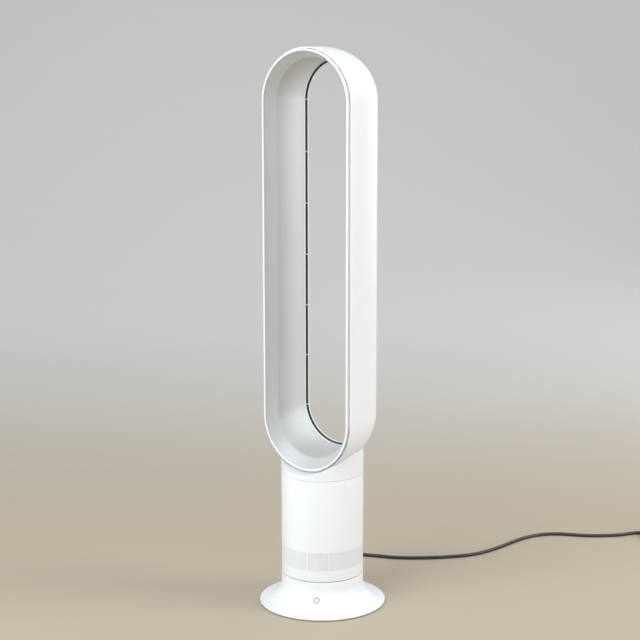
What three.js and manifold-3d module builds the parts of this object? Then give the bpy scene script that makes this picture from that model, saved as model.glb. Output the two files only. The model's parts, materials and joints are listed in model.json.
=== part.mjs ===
// A bladeless tower fan: a tall oval loop that blows air from a thin slot along its rear edge,
// on a round body with the motor and a mixed-flow impeller, on a flared base that swings the body.
// Millimetres, +Z up. The origin is the centre of the base, on the floor; the loop faces -Y.

import * as THREE from 'three';
import { mergeVertices } from 'three/addons/utils/BufferGeometryUtils.js';
import Module from 'manifold-3d';

const wasm = await Module();
wasm.setup();

// ---- driving dimensions ---------------------------------------------------------------

const gap = 0.3;                  // between pieces that seat on each other
const airGap = 1;                 // between the rotor and what it turns in
const arcSteps = 12;              // facets of a half circle of the loop
const roundSteps = 24;            // facets round the body
const baseSteps = 28;             // facets round the base
const ductSteps = 24;             // facets round the impeller's duct
const hubSteps = 16;              // facets round the motor and hub
const smallSteps = 12;            // facets round shafts, seats and small parts

// base
const baseTurn = 28;              // degrees from the front of the head to the front of the base
const plateRadius = 115;
const plateLift = 1.5;            // the base's edge stands this far off the floor
const plateEdge = 3;              // thickness of the edge
const flareRadius = 40;           // the concave sweep from plate to cylinder
const bodyRadius = 74.7;
const bodyWall = 2.4;
const baseTop = 58.1;
const deckThickness = 2.4;
const deckDepth = 8.1;            // from the base's top edge down to its deck
const spigotRadius = 12;
const spigotBore = 9;
const floorRadius = 103.5;
const floorThickness = 2.2;
const footRadius = 96;            // middle of the non-slip ring
const footWidth = 8;
const footHeight = 2;
const footGroove = 1.3;
const screwCircle = 80;
const screwRadius = 1.9;
const screwHead = 3.6;
const bossRadius = 4.6;

// button on the flare
const buttonHeight = 26.5;        // of the button's centre above the floor
const buttonRadius = 3.9;
const ringRadius = 5.5;           // outside of the grey ring round the button
const buttonTravel = 1;

// oscillation drive
const gearModule = 1.25;
const sectorTeeth = 60;           // of the full circle
const sectorKept = 16;            // teeth that are really there
const pinionTeeth = 12;
const gearHeight = 6;
const pinionShaft = 2.5;
const driveAngle = 150;           // degrees, where the motor sits behind the base's front
const swivelMotorRadius = 14;
const swivelMotorHeight = 19;
const swivelMotorOffset = 8;      // its shaft is this far from the middle of its can

// body of the head
const grooveHeight = 1.2;         // the dark line between base and head
const turntableLift = 1.2;        // above the shell's lower edge
const turntableThickness = 2.4;
const shellTop = 245.6;
const neckSeam = 1.2;
const windowCount = 12;
const windowBottom = 79.3;
const windowTop = 113;
const ribWidth = 3.2;
const grilleWall = 1.6;
const grilleRecess = 0.4;
const holeColumns = 2;
const holeRows = 2;
const holeBar = 2.4;              // material left between two holes
const ledgeHeight = 124.5;        // shelf inside the shell that carries the impeller housing
const ledgeThickness = 2.4;
const ledgeWidth = 9;
const isolatorHeight = 4;
const isolatorRadius = 3.6;

// impeller, motor and duct
const inletRadius = 35.5;         // throat of the bellmouth
const outletRadius = 57.5;        // housing at the top of the impeller
const impellerBottom = 97;
const impellerHeight = 31;
const housingRadius = 62;
const housingTop = 178;
const housingWall = 2;
const bladeCount = 9;
const bladeThickness = 1.5;
const bladeWrap = 55;             // degrees
const hubNose = 9;
const hubRadius = 36;
const vaneCount = 7;
const vaneWrap = 38;
const vaneThickness = 1.5;
const bucketRadius = 36.5;
const bucketWall = 2.4;
const bucketBottom = 129.6;
const bucketSplit = 151;
const bucketTop = 180;
const shaftRadius = 2.5;
const bearingRadius = 8;
const bearingHeight = 5;
const statorHeight = 14;
const magnetRadius = 14;
const foamHeight = 24;

// loop
const archTop = 912;              // centre of the upper half circle
const archBottom = 350;           // centre of the lower half circle
const rimFront = -53.4;
const rimRadius = 92;
const rimInner = 88.7;
const rimDepth = 2.2;
const loopRadius = 95;
const shellFront = -47.1;
const shellFull = -11;            // from here the shell's back rounds inwards
const loopBack = 56.9;
const loopWall = 2.2;
const lipRadius = 72.6;           // inside of the rear lip
const lipThickness = 0.9;
const lipLength = 5.7;
const slotWidth = 1.1;
const slotOverlap = 2.2;          // the inner wall reaches this far into the lip
const creaseRadius = 76.7;
const creaseDepth = -29;
const nozzleWall = 1.8;
const creaseLift = 3.7;           // the lower half circle's centre is higher at the crease
const slotLift = 8.7;             // and higher still at the slot
const spacerPitch = 93.7;
const mouthWidth = 84;            // of the air duct from neck to loop
const mouthDepth = 50;

// cord
const cordRadius = 3.3;
const cordLength = 2000;          // from the strain relief to the plug
const coilTurns = 5;
const coilPitch = 7.4;            // between neighbouring turns
const tieThickness = 0.8;
const glandHeight = 16;
const glandLength = 30;
const glandTail = 12;             // of the sleeve inside the housing

// ---- sizes worked out from those -------------------------------------------------------

const rad = THREE.MathUtils.degToRad;
const plateTop = plateLift + plateEdge;
const bodyBore = bodyRadius - bodyWall;
const flareAxis = bodyRadius + flareRadius;
const deckTop = baseTop - deckDepth;
const deckBottom = deckTop - deckThickness;
const shellBottom = baseTop + grooveHeight;
const turntableBottom = shellBottom + turntableLift;
const turntableTop = turntableBottom + turntableThickness;
const spigotTop = turntableTop + gap;
const sectorPitch = gearModule * sectorTeeth / 2;
const pinionPitch = gearModule * pinionTeeth / 2;
const driveRadius = sectorPitch + pinionPitch;
const gearBottom = deckTop + 1.2;
const neckBottom = shellTop + neckSeam;

// ---- solids ----------------------------------------------------------------------------

// Keep positions only, share equal vertices and drop triangles that have no area.
function weld(geometry) {
  const bare = geometry.index ? geometry.toNonIndexed() : geometry.clone();
  for (const name of Object.keys(bare.attributes)) {
    if (name !== 'position') bare.deleteAttribute(name);
  }
  const merged = mergeVertices(bare, 1e-3);
  const old = merged.index.array;
  const kept = [];
  for (let i = 0; i < old.length; i += 3) {
    const [a, b, c] = [old[i], old[i + 1], old[i + 2]];
    if (a !== b && b !== c && c !== a) kept.push(a, b, c);
  }
  merged.setIndex(kept);
  return volumeOf(merged) < 0 ? turnedInsideOut(merged) : merged;
}

function volumeOf(geometry) {
  const p = geometry.attributes.position;
  const index = geometry.index.array;
  const [a, b, c] = [new THREE.Vector3(), new THREE.Vector3(), new THREE.Vector3()];
  let sum = 0;
  for (let i = 0; i < index.length; i += 3) {
    a.fromBufferAttribute(p, index[i]);
    b.fromBufferAttribute(p, index[i + 1]);
    c.fromBufferAttribute(p, index[i + 2]);
    sum += a.dot(b.cross(c)) / 6;
  }
  return sum;
}

function turnedInsideOut(geometry) {
  const index = geometry.index.array;
  for (let i = 0; i < index.length; i += 3) {
    [index[i + 1], index[i + 2]] = [index[i + 2], index[i + 1]];
  }
  return geometry;
}

function toSolid(geometry) {
  const welded = weld(geometry);
  return new wasm.Manifold(new wasm.Mesh({
    numProp: 3,
    vertProperties: new Float32Array(welded.attributes.position.array),
    triVerts: new Uint32Array(welded.index.array),
  }));
}

function toGeometry(solid) {
  const mesh = solid.getMesh();
  const geometry = new THREE.BufferGeometry();
  geometry.setAttribute('position', new THREE.BufferAttribute(mesh.vertProperties, 3));
  geometry.setIndex(new THREE.BufferAttribute(mesh.triVerts, 1));
  return geometry;
}

function joined(...geometries) {
  return toGeometry(geometries.map(toSolid).reduce((all, next) => all.add(next)));
}

function cut(body, ...tools) {
  return toGeometry(tools.map(toSolid).reduce((left, tool) => left.subtract(tool), toSolid(body)));
}

function common(first, second) {
  return toGeometry(toSolid(first).intersect(toSolid(second)));
}

// A profile of [radius, height] points turned about Z; it closes on itself or on the axis.
function lathe(profile, steps = roundSteps) {
  const points = profile.map(([r, z]) => new THREE.Vector2(r, z));
  const closed = profile[0][0] > 0 || profile.at(-1)[0] > 0;
  if (closed) points.push(points[0].clone());
  return weld(new THREE.LatheGeometry(points, steps).rotateX(Math.PI / 2));
}

function ring(inner, outer, bottom, top, steps) {
  return lathe([[inner, bottom], [outer, bottom], [outer, top], [inner, top]], steps);
}

function disc(radius, bottom, top, steps) {
  return lathe([[0, bottom], [radius, bottom], [radius, top], [0, top]], steps);
}

function box(low, high) {
  const size = high.map((value, i) => value - low[i]);
  const middle = high.map((value, i) => (value + low[i]) / 2);
  return new THREE.BoxGeometry(...size).translate(...middle);
}

// A closed outline of [x, y] points raised from one height to another.
function prism(outline, bottom, top) {
  const shape = new THREE.Shape(outline.map(([x, y]) => new THREE.Vector2(x, y)));
  const depth = top - bottom;
  return new THREE.ExtrudeGeometry(shape, { depth, bevelEnabled: false }).translate(0, 0, bottom);
}

// Rings of points, all alike in number, skinned one to the next; the row of rings may close.
// A crossed side is folded along its other diagonal.
function skin(rings, closed = false, crossed = []) {
  const count = rings[0].length;
  const positions = rings.flat().flatMap((point) => point.toArray());
  const index = [];
  const last = closed ? rings.length : rings.length - 1;
  for (let i = 0; i < last; i++) {
    const here = i * count;
    const next = ((i + 1) % rings.length) * count;
    for (let j = 0; j < count; j++) {
      const k = (j + 1) % count;
      const [a, b, c, d] = [here + j, next + j, next + k, here + k];
      index.push(...(crossed.includes(j) ? [a, b, d, b, c, d] : [a, b, c, a, c, d]));
    }
  }
  const end = (rings.length - 1) * count;
  for (let j = 1; j < count - 1 && !closed; j++) {
    index.push(0, j, j + 1, end, end + j + 1, end + j);
  }
  const geometry = new THREE.BufferGeometry();
  geometry.setAttribute('position', new THREE.Float32BufferAttribute(positions, 3));
  geometry.setIndex(index);
  return weld(geometry);
}

// Points of an arc in a [radius, height] profile, from one angle to another, in degrees.
function arc(centre, radius, from, to, steps) {
  return Array.from({ length: steps + 1 }, (_, i) => {
    const angle = rad(from + (to - from) * i / steps);
    return [centre[0] + radius * Math.cos(angle), centre[1] + radius * Math.sin(angle)];
  });
}

// Stand a geometry, made along +Z, on a point and turn it to a direction.
function along(geometry, direction, point) {
  const turn = new THREE.Quaternion().setFromUnitVectors(
    new THREE.Vector3(0, 0, 1), direction.clone().normalize());
  return geometry.applyQuaternion(turn).translate(...point.toArray());
}

function spun(geometry, degrees) {
  return geometry.rotateZ(rad(degrees));
}

function polar(radius, degrees, height = 0) {
  const angle = rad(degrees);
  return new THREE.Vector3(radius * Math.cos(angle), radius * Math.sin(angle), height);
}

// ---- materials and the scene graph -----------------------------------------------------

const finishes = {
  whiteShell: { color: 0xf3f4f5, roughness: 0.32, metalness: 0 },
  silver: { color: 0xbcbfc2, roughness: 0.34, metalness: 0.55 },
  grille: { color: 0xc9cbce, roughness: 0.5, metalness: 0 },
  greyPlastic: { color: 0x8c8f93, roughness: 0.5, metalness: 0 },
  darkPlastic: { color: 0x2b2c2e, roughness: 0.55, metalness: 0 },
  blackRubber: { color: 0x1c1c1d, roughness: 0.8, metalness: 0 },
  cordGrey: { color: 0x4d4548, roughness: 0.6, metalness: 0 },
  foam: { color: 0x3a3b3d, roughness: 0.95, metalness: 0 },
  steel: { color: 0xb4b7ba, roughness: 0.3, metalness: 1 },
  copper: { color: 0x9a5a33, roughness: 0.45, metalness: 0.8 },
  circuit: { color: 0x1f5a3c, roughness: 0.5, metalness: 0 },
  acetal: { color: 0xe6e2d6, roughness: 0.4, metalness: 0 },
  brass: { color: 0xc8a24a, roughness: 0.3, metalness: 1 },
};

const fan = new THREE.Group();
const base = new THREE.Group();
const head = new THREE.Group();
base.rotation.z = rad(baseTurn);
fan.add(base, head);

function add(group, name, geometry, finish) {
  const welded = weld(geometry);
  const flat = welded.toNonIndexed();
  flat.computeVertexNormals();
  const mesh = new THREE.Mesh(flat, new THREE.MeshStandardMaterial(finishes[finish]));
  mesh.name = name;
  group.add(mesh);
  return mesh;
}

// ---- base: housing, floor and foot -------------------------------------------------------

function flare(offset, from, to, steps) {
  return arc([flareAxis, plateTop + flareRadius], flareRadius + offset, from, to, steps);
}

function baseOutline() {
  return [
    [plateRadius - 1, plateLift],
    [plateRadius, plateLift + 1],
    [plateRadius, plateTop - 0.8],
    [plateRadius - 0.8, plateTop],
    ...flare(0, -97, -180, 5),
    [bodyRadius, baseTop],
  ];
}

// Height of the underside of the flare at a radius.
function flareUnderside(radius) {
  const inner = flareRadius + bodyWall;
  return plateTop + flareRadius - Math.sqrt(inner ** 2 - (flareAxis - radius) ** 2);
}

function floorHole() {
  return floorRadius + gap;
}

// Where the flare's surface is at a height, measured out from the axis.
function flareSurface(height) {
  return flareAxis - Math.sqrt(flareRadius ** 2 - (plateTop + flareRadius - height) ** 2);
}

const glandOut = new THREE.Vector3(0, 1, 0);
const glandPoint = new THREE.Vector3(0, flareSurface(glandHeight), glandHeight);
const glandNeck = cordRadius + 2;
const buttonPlace = findButton();

// The button sits square to the flare, at the height where its centre is.
function findButton() {
  const radius = flareSurface(buttonHeight);
  const outward = new THREE.Vector3(0, radius - flareAxis, plateTop + flareRadius - buttonHeight).normalize();
  return { point: new THREE.Vector3(0, -radius, buttonHeight), outward };
}

function onButtonAxis(profile, steps = smallSteps) {
  return along(lathe(profile, steps), buttonPlace.outward, buttonPlace.point);
}

function screwPlaces() {
  return [45, 135, 225, 315].map((angle) => polar(screwCircle, angle));
}

function baseHousing() {
  const hole = floorHole();
  const shell = lathe([
    [hole, plateLift],
    ...baseOutline(),
    [bodyBore, baseTop], [bodyBore, deckTop],
    [spigotRadius, deckTop], [spigotRadius, spigotTop],
    [spigotBore, spigotTop], [spigotBore, deckBottom],
    [bodyBore, deckBottom],
    ...flare(bodyWall, -180, -112, 2),
    [hole, flareUnderside(hole)],
  ], baseSteps);
  const envelope = lathe([[0, plateLift], ...baseOutline(), [0, baseTop]], baseSteps);
  const bossBottom = plateLift - 0.5 + floorThickness + gap;
  const bosses = screwPlaces().map((place) => {
    const pillar = disc(bossRadius, bossBottom, deckBottom, 8).translate(place.x, place.y, 0);
    return common(pillar, envelope);
  });
  const pilots = screwPlaces().map((place) => (
    disc(screwRadius, bossBottom - 1, bossBottom + 7, 8).translate(place.x, place.y, 0)));
  const shaftHole = disc(pinionPitch + gearModule + 1, deckBottom - 1, deckTop + 1, 16)
    .translate(...polar(driveRadius, driveAngle).toArray());
  const buttonHole = onButtonAxis([[0, -14], [ringRadius + gap, -14], [ringRadius + gap, 6], [0, 6]]);
  const cordHole = along(disc(glandNeck + gap, -20, 20, 12), glandOut, glandPoint);
  return cut(joined(shell, ...bosses), ...pilots, shaftHole, buttonHole, cordHole);
}

function floorPlate() {
  const bottom = plateLift - 0.5;
  const top = bottom + floorThickness;
  const grooveIn = footRadius - footWidth / 2 - gap;
  const grooveOut = footRadius + footWidth / 2 + gap;
  const plate = lathe([
    [0, bottom], [grooveIn, bottom], [grooveIn, bottom + footGroove],
    [grooveOut, bottom + footGroove], [grooveOut, bottom],
    [floorRadius, bottom], [floorRadius, top], [0, top],
  ], baseSteps);
  const posts = boardCorners().map(([x, y]) => disc(2.6, top - 1, boardBottom() - gap, 8).translate(x, y, 0));
  const screwHoles = screwPlaces().map((place) => joined(
    disc(screwRadius + gap, bottom - 1, top + 1, 8),
    disc(screwHead + gap, bottom - 1, bottom + 1.1, 8)).translate(place.x, place.y, 0));
  return cut(joined(plate, ...posts), ...screwHoles);
}

function footRing() {
  return ring(footRadius - footWidth / 2, footRadius + footWidth / 2, 0, footHeight, baseSteps);
}

function floorScrew(place) {
  const bottom = plateLift - 0.5;
  const shank = screwRadius - gap;
  const tip = bottom + floorThickness + 5;
  return lathe([
    [0, bottom - 0.1], [screwHead, bottom - 0.1], [screwHead, bottom + 0.8],
    [shank, bottom + 0.8], [shank, tip], [0, tip],
  ], 6).translate(place.x, place.y, 0);
}

// ---- base: boards, cord entry, button ----------------------------------------------------

const board = { width: 64, depth: 42, thickness: 1.6, lift: 10, middle: -18 };

function boardBottom() {
  return plateLift - 0.5 + floorThickness + board.lift;
}

function boardCorners() {
  const [x, y] = [board.width / 2 - 5, board.depth / 2 - 5];
  return [[x, y], [-x, y], [-x, -y], [x, -y]].map(([a, b]) => [a, b + board.middle]);
}

function powerBoard() {
  const bottom = boardBottom();
  const top = bottom + board.thickness;
  const [x, y] = [board.width / 2, board.depth / 2];
  const plate = box([-x, board.middle - y, bottom], [x, board.middle + y, top]);
  const capacitor = disc(6, top - 0.5, top + 16, 12).translate(-x + 12, board.middle - 6, 0);
  const transformer = box([-8, board.middle - 8, top - 0.5], [12, board.middle + 10, top + 14]);
  const terminal = box([x - 14, board.middle + y - 11, top - 0.5], [x - 3, board.middle + y - 1, top + 8]);
  const heatSink = box([x - 12, board.middle - y + 3, top - 0.5], [x - 8, board.middle + 4, top + 12]);
  return joined(plate, capacitor, transformer, terminal, heatSink);
}

// A tapered sleeve with a flange inside the housing's wall; the free cord starts at its tip.
function cordGland() {
  const bore = cordRadius + gap;
  const profile = [
    [bore, -glandTail], [glandNeck + 1.6, -glandTail],
    [glandNeck + 1.6, 2.5 - glandTail], [glandNeck, 2.5 - glandTail],
    [glandNeck, 4], [cordRadius + 1.4, glandLength], [bore, glandLength],
  ];
  return along(lathe(profile, 12), glandOut, glandPoint);
}

// The lead inside the base runs from the sleeve to the board's terminal.
function innerLead() {
  const [y, z] = [glandPoint.y, glandHeight];
  const boardEdge = board.middle + board.depth / 2;
  const end = new THREE.Vector3(board.width / 2 - 8.5, boardEdge + gap, boardBottom() + 6);
  const path = [
    new THREE.Vector3(0, y + glandLength, z), new THREE.Vector3(0, y, z),
    new THREE.Vector3(0, y - glandTail, z), new THREE.Vector3(0, y - glandTail - 15, z),
    new THREE.Vector3(0, y - glandTail - 20, z), new THREE.Vector3(8, y - glandTail - 35, z + 1),
    new THREE.Vector3(end.x - 3, end.y + 22, end.z), new THREE.Vector3(end.x, end.y + 8, end.z), end,
  ];
  return tube(path, cordRadius, 12, 6);
}

function cordClamp() {
  const top = plateLift - 0.5 + floorThickness + gap;
  const y = glandPoint.y - glandTail - 8;
  const block = box([-9, y - 4, top], [9, y + 4, glandHeight + cordRadius + 3]);
  const middle = new THREE.Vector3(0, y, glandHeight);
  const bore = along(disc(cordRadius + gap + 0.1, -10, 10, 8), glandOut, middle);
  return cut(block, bore);
}

// Depths below the flare's surface, along the button's axis.
const surroundDepth = bodyWall + 1.8;
const flangeDepth = bodyWall + 0.7;
const stopThickness = 0.9;
const stopBottom = -surroundDepth - gap - stopThickness;
const switchTop = stopBottom - buttonTravel - 0.5;
const switchSize = 10;

// The grey ring round the button, its flange behind the wall and the two legs that hold the switch.
function buttonSurround() {
  const inner = buttonRadius + gap;
  const collar = lathe([
    [inner, -surroundDepth], [ringRadius + 1.6, -surroundDepth], [ringRadius + 1.6, -flangeDepth],
    [ringRadius, -flangeDepth], [ringRadius, -0.1], [inner, -0.1],
  ], smallSteps);
  const legIn = switchSize / 2 + gap;
  const legs = [-1, 1].map((side) => box(
    [Math.min(side * legIn, side * (legIn + 1.6)), -2.5, switchTop - 4],
    [Math.max(side * legIn, side * (legIn + 1.6)), 2.5, 0.3 - surroundDepth]));
  return along(joined(collar, ...legs), buttonPlace.outward, buttonPlace.point);
}

function powerButton() {
  const stem = 1.5;
  const stop = switchSize / 2 - gap;
  return onButtonAxis([
    [0, switchTop - 1], [stem, switchTop - 1], [stem, stopBottom], [stop, stopBottom],
    [stop, stopBottom + stopThickness], [buttonRadius, stopBottom + stopThickness],
    [buttonRadius, -0.3], [buttonRadius - 0.5, 0.1], [0, 0.1],
  ]);
}

function buttonSwitch() {
  const half = switchSize / 2;
  const body = box([-half, -half, switchTop - 4.5], [half, half, switchTop]);
  const well = disc(1.5 + gap, switchTop - 3.5, switchTop + 1, smallSteps);
  return along(cut(body, well), buttonPlace.outward, buttonPlace.point);
}

// ---- oscillation drive -------------------------------------------------------------------

// Outline of one involute tooth, from its left foot over the tip to its right foot.
function tooth(teeth, tipHeight, footDepth, backlash) {
  const pitch = gearModule * teeth / 2;
  const baseCircle = pitch * Math.cos(rad(20));
  const involute = (r) => {
    const t = Math.sqrt(Math.max(0, (r / baseCircle) ** 2 - 1));
    return t - Math.atan(t);
  };
  const half = Math.PI / (2 * teeth) - backlash / (2 * pitch);
  const radii = [pitch - footDepth, pitch, pitch + tipHeight];
  const halves = radii.map((r) => half + involute(pitch) - involute(r));
  return [
    ...radii.map((r, i) => [r, -halves[i]]),
    ...radii.map((r, i) => [r, halves[i]]).reverse(),
  ];
}

function gearOutline(teeth, kept, tipHeight, footDepth, backlash, startAngle) {
  const outline = tooth(teeth, tipHeight, footDepth, backlash);
  const points = [];
  for (let i = 0; i < kept; i++) {
    const middle = rad(startAngle) + i * 2 * Math.PI / teeth;
    for (const [r, a] of outline) points.push([r * Math.cos(middle + a), r * Math.sin(middle + a)]);
  }
  return points;
}

function gearSector() {
  const pitchAngle = 360 / sectorTeeth;
  const start = driveAngle - pitchAngle * (sectorKept - 1) / 2;
  const teeth = gearOutline(sectorTeeth, sectorKept, gearModule * 0.72, gearModule * 1.25, 0.25, start);
  const inner = sectorPitch - gearModule * 1.25 - 5;
  const back = [];
  for (let i = 0; i <= 8; i++) {
    const angle = rad(start + pitchAngle * (sectorKept - 0.5) - i * pitchAngle * sectorKept / 8);
    back.push([inner * Math.cos(angle), inner * Math.sin(angle)]);
  }
  return prism([...teeth, ...back], gearBottom, turntableBottom + 0.5);
}

// The pinion meets a space of the sector with a tooth, on the line between their centres.
function pinionPhase() {
  const pitchAngle = 360 / sectorTeeth;
  const firstTooth = -pitchAngle * (sectorKept - 1) / 2;
  const offset = ((firstTooth - baseTurn) % pitchAngle + pitchAngle) % pitchAngle;
  return driveAngle + 180 - offset * sectorTeeth / pinionTeeth + 180 / pinionTeeth;
}

function drivePinion() {
  const outline = gearOutline(pinionTeeth, pinionTeeth, gearModule, gearModule * 1.15, 0.25, pinionPhase());
  const wheel = prism(outline, gearBottom, gearBottom + gearHeight);
  const shaft = disc(pinionShaft, deckBottom - 7, gearBottom + gearHeight + 1, 12);
  return joined(wheel, shaft).translate(...polar(driveRadius, driveAngle).toArray());
}

function swivelMotor() {
  const top = deckBottom - gap;
  const can = disc(swivelMotorRadius, top - swivelMotorHeight, top, 20).translate(swivelMotorOffset, 0, 0);
  const ears = box([swivelMotorOffset - 3.5, -21, top - 1], [swivelMotorOffset + 3.5, 21, top]);
  const bore = disc(pinionShaft + gap, top - 9, top + 1, 12);
  return spun(cut(joined(can, ears), bore).translate(driveRadius, 0, 0), driveAngle);
}

function turntable() {
  const radius = bodyBore - gap;
  const hubBore = spigotRadius + gap;
  const plate = lathe([
    [hubBore, deckTop + gap], [hubBore + 4, deckTop + gap], [hubBore + 4, turntableBottom],
    [radius, turntableBottom], [radius, turntableTop], [hubBore, turntableTop],
  ]);
  return joined(plate, gearSector());
}

function bearingRing() {
  const outer = bodyBore - gap - airGap;
  return ring(outer - 5, outer, deckTop + gap, turntableBottom - gap, baseSteps);
}

function pivotCap() {
  const stem = spigotBore - gap;
  return lathe([
    [4, spigotTop - 10], [stem, spigotTop - 10], [stem, spigotTop + gap],
    [spigotRadius + 5, spigotTop + gap], [spigotRadius + 5, spigotTop + gap + 2], [4, spigotTop + gap + 2],
  ], hubSteps);
}

// ---- head: shell, grille, silencers ------------------------------------------------------

function windowSpan() {
  return rad(360 / windowCount) - ribWidth / bodyRadius;
}

// A piece of the ring between two radii, centred on -Y.
function ringSector(inner, outer, span, bottom, top, steps = 2) {
  const outline = [];
  for (let i = 0; i <= steps; i++) {
    const angle = -Math.PI / 2 - span / 2 + span * i / steps;
    outline.push([outer * Math.cos(angle), outer * Math.sin(angle)]);
  }
  for (let i = steps; i >= 0; i--) {
    const angle = -Math.PI / 2 - span / 2 + span * i / steps;
    outline.push([inner * Math.cos(angle), inner * Math.sin(angle)]);
  }
  return prism(outline, bottom, top);
}

function roundTheBody(make) {
  return Array.from({ length: windowCount }, (_, i) => spun(make(), i * 360 / windowCount));
}

function bodyShell() {
  const ledgeTop = ledgeHeight + ledgeThickness;
  const shell = lathe([
    [bodyBore, shellBottom], [bodyRadius, shellBottom], [bodyRadius, shellTop], [bodyBore, shellTop],
    [bodyBore, ledgeTop], [bodyBore - ledgeWidth, ledgeTop],
    [bodyBore - ledgeWidth, ledgeHeight], [bodyBore, ledgeHeight - 5],
  ]);
  const windows = roundTheBody(() => (
    ringSector(bodyBore - 3, bodyRadius + 3, windowSpan(), windowBottom, windowTop, 1)));
  const side = display.width / 2 + gap;
  const rails = [-1, 1].map((s) => box(
    [Math.min(s * side, s * (side + 2)), 1 - bodyBore, display.bottom - 2],
    [Math.max(s * side, s * (side + 2)), display.face + 3, display.bottom + display.height]));
  return cut(joined(shell, ...rails), ...windows);
}

function inletGrille() {
  const outer = bodyBore - gap;
  const inner = outer - grilleWall;
  const band = ring(inner, outer, windowBottom - 3, windowTop + 3);
  const span = windowSpan() - 2 * gap / bodyRadius;
  const pads = roundTheBody(() => ringSector(
    outer - 0.8, bodyRadius - grilleRecess, span, windowBottom + gap, windowTop - gap));
  const pitchAcross = (span * bodyRadius - holeBar) / holeColumns;
  const pitchUp = (windowTop - windowBottom - holeBar) / holeRows;
  const holes = [];
  for (let column = 0; column < holeColumns; column++) {
    for (let row = 0; row < holeRows; row++) {
      const turn = (column - (holeColumns - 1) / 2) * pitchAcross / bodyRadius;
      const low = windowBottom + holeBar + row * pitchUp;
      const width = (pitchAcross - holeBar) / bodyRadius;
      holes.push(...roundTheBody(() => ringSector(
        inner - 2, bodyRadius + 2, width, low, low + pitchUp - holeBar, 1).rotateZ(turn)));
    }
  }
  return cut(joined(band, ...pads), ...holes);
}

const display = { width: 30, height: 18, thickness: 1.6, bottom: 142, face: -68.6 };

function displayBoard() {
  const [x, y] = [display.width / 2, display.face];
  const top = display.bottom + display.height;
  const plate = box([-x, y, display.bottom + gap], [x, y + display.thickness, top]);
  const digits = box([-10, y - 1.4, display.bottom + 4], [10, y + 0.4, display.bottom + 14]);
  return joined(plate, digits);
}

function silencerLower() {
  const bottom = turntableTop + gap;
  return ring(spigotRadius + 14, bodyBore - 12, bottom, bottom + 9, ductSteps);
}

function silencerUpper() {
  const bottom = bucketTop + 14;
  return lathe([
    [bucketRadius - 8, bottom + foamHeight / 2], [bucketRadius, bottom], [bodyBore - gap, bottom],
    [bodyBore - gap, bottom + foamHeight], [bucketRadius, bottom + foamHeight],
  ], ductSteps);
}

// ---- head: impeller housing, motor bucket and diffuser -------------------------------------

const flangeBottom = ledgeHeight + ledgeThickness + gap + isolatorHeight + gap;
const flangeRadius = bodyBore - gap - 1.5;
const impellerTop = impellerBottom + impellerHeight;

// Inner radius of the housing at a height beside the impeller.
function shroudRadius(z) {
  return inletRadius + (outletRadius - inletRadius) * (z - impellerBottom) / impellerHeight;
}

function impellerHousing() {
  return lathe([
    [inletRadius, impellerBottom], [inletRadius + housingWall, impellerBottom],
    [shroudRadius(flangeBottom - 4) + housingWall + 1, flangeBottom - 4],
    [housingRadius + housingWall, flangeBottom], [flangeRadius, flangeBottom],
    [flangeRadius, flangeBottom + 2], [housingRadius + housingWall, flangeBottom + 2],
    [housingRadius + housingWall, housingTop], [housingRadius, housingTop],
    [housingRadius, impellerTop + 9], [outletRadius, impellerTop],
  ], ductSteps);
}

function bellmouth() {
  const top = impellerBottom - gap;
  const lip = [inletRadius + 14, top];
  return lathe([
    ...arc(lip, 14, 180, 290, 4),
    ...arc(lip, 14 - housingWall, 290, 180, 3),
  ], ductSteps);
}

function isolator(index) {
  const place = polar(bodyBore - ledgeWidth / 2, 30 + index * 120);
  const bottom = ledgeHeight + ledgeThickness + gap;
  return disc(isolatorRadius, bottom, bottom + isolatorHeight, 10).translate(place.x, place.y, 0);
}

function housingSeal() {
  const bottom = flangeBottom + 2 + gap;
  return ring(housingRadius + housingWall + gap, bodyBore - gap, bottom, bottom + 3, ductSteps);
}

const seatInner = bearingRadius + gap;

function motorBucket() {
  return lathe([
    [seatInner, bucketBottom + bearingHeight + 1], [seatInner, bucketBottom],
    [bucketRadius - 3, bucketBottom], [bucketRadius, bucketBottom + 3], [bucketRadius, bucketSplit - gap],
    [bucketRadius - bucketWall, bucketSplit - gap], [bucketRadius - bucketWall, bucketBottom + 4],
    [bucketRadius - 5, bucketBottom + bucketWall], [seatInner + 2, bucketBottom + bucketWall],
    [seatInner + 2, bucketBottom + bearingHeight + 1],
  ], hubSteps);
}

const upperBearing = bucketTop - 16;
const domeShoulder = bucketTop - 20;
const domeSlope = 12;             // height over which the dome draws in above its shoulder
const domeDraw = 7;

function domeRadius(z) {
  return bucketRadius - domeDraw * Math.max(0, z - domeShoulder) / domeSlope;
}

// The upper half of the motor bucket, its guide vanes and the ring that carries them.
function diffuser() {
  const wall = bucketWall;
  const slopeTop = domeShoulder + domeSlope;
  const dome = lathe([
    [bucketRadius - wall, bucketSplit], [bucketRadius, bucketSplit], [bucketRadius, domeShoulder],
    [bucketRadius - domeDraw, slopeTop], [seatInner, bucketTop],
    [seatInner, upperBearing - 1], [seatInner + 2, upperBearing - 1],
    [seatInner + 2, bucketTop - 4], [bucketRadius - domeDraw - wall, slopeTop - 1.5],
    [bucketRadius - wall, domeShoulder],
  ], hubSteps);
  const outer = housingRadius - gap;
  const carrier = lathe([
    [outer - 2, bucketSplit], [outer, bucketSplit], [outer, housingTop + gap],
    [housingRadius + housingWall, housingTop + gap], [housingRadius + housingWall, housingTop + 2],
    [outer - 2, housingTop + 2],
  ], ductSteps);
  const vanes = Array.from({ length: vaneCount }, (_, i) => blade({
    from: bucketSplit + 2, to: slopeTop - 2, wrap: -vaneWrap, thickness: vaneThickness,
    root: (z) => domeRadius(z) - 1.2, tip: () => outer - 1, start: i * 360 / vaneCount, steps: 2,
  }));
  return joined(dome, carrier, ...vanes);
}

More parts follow.
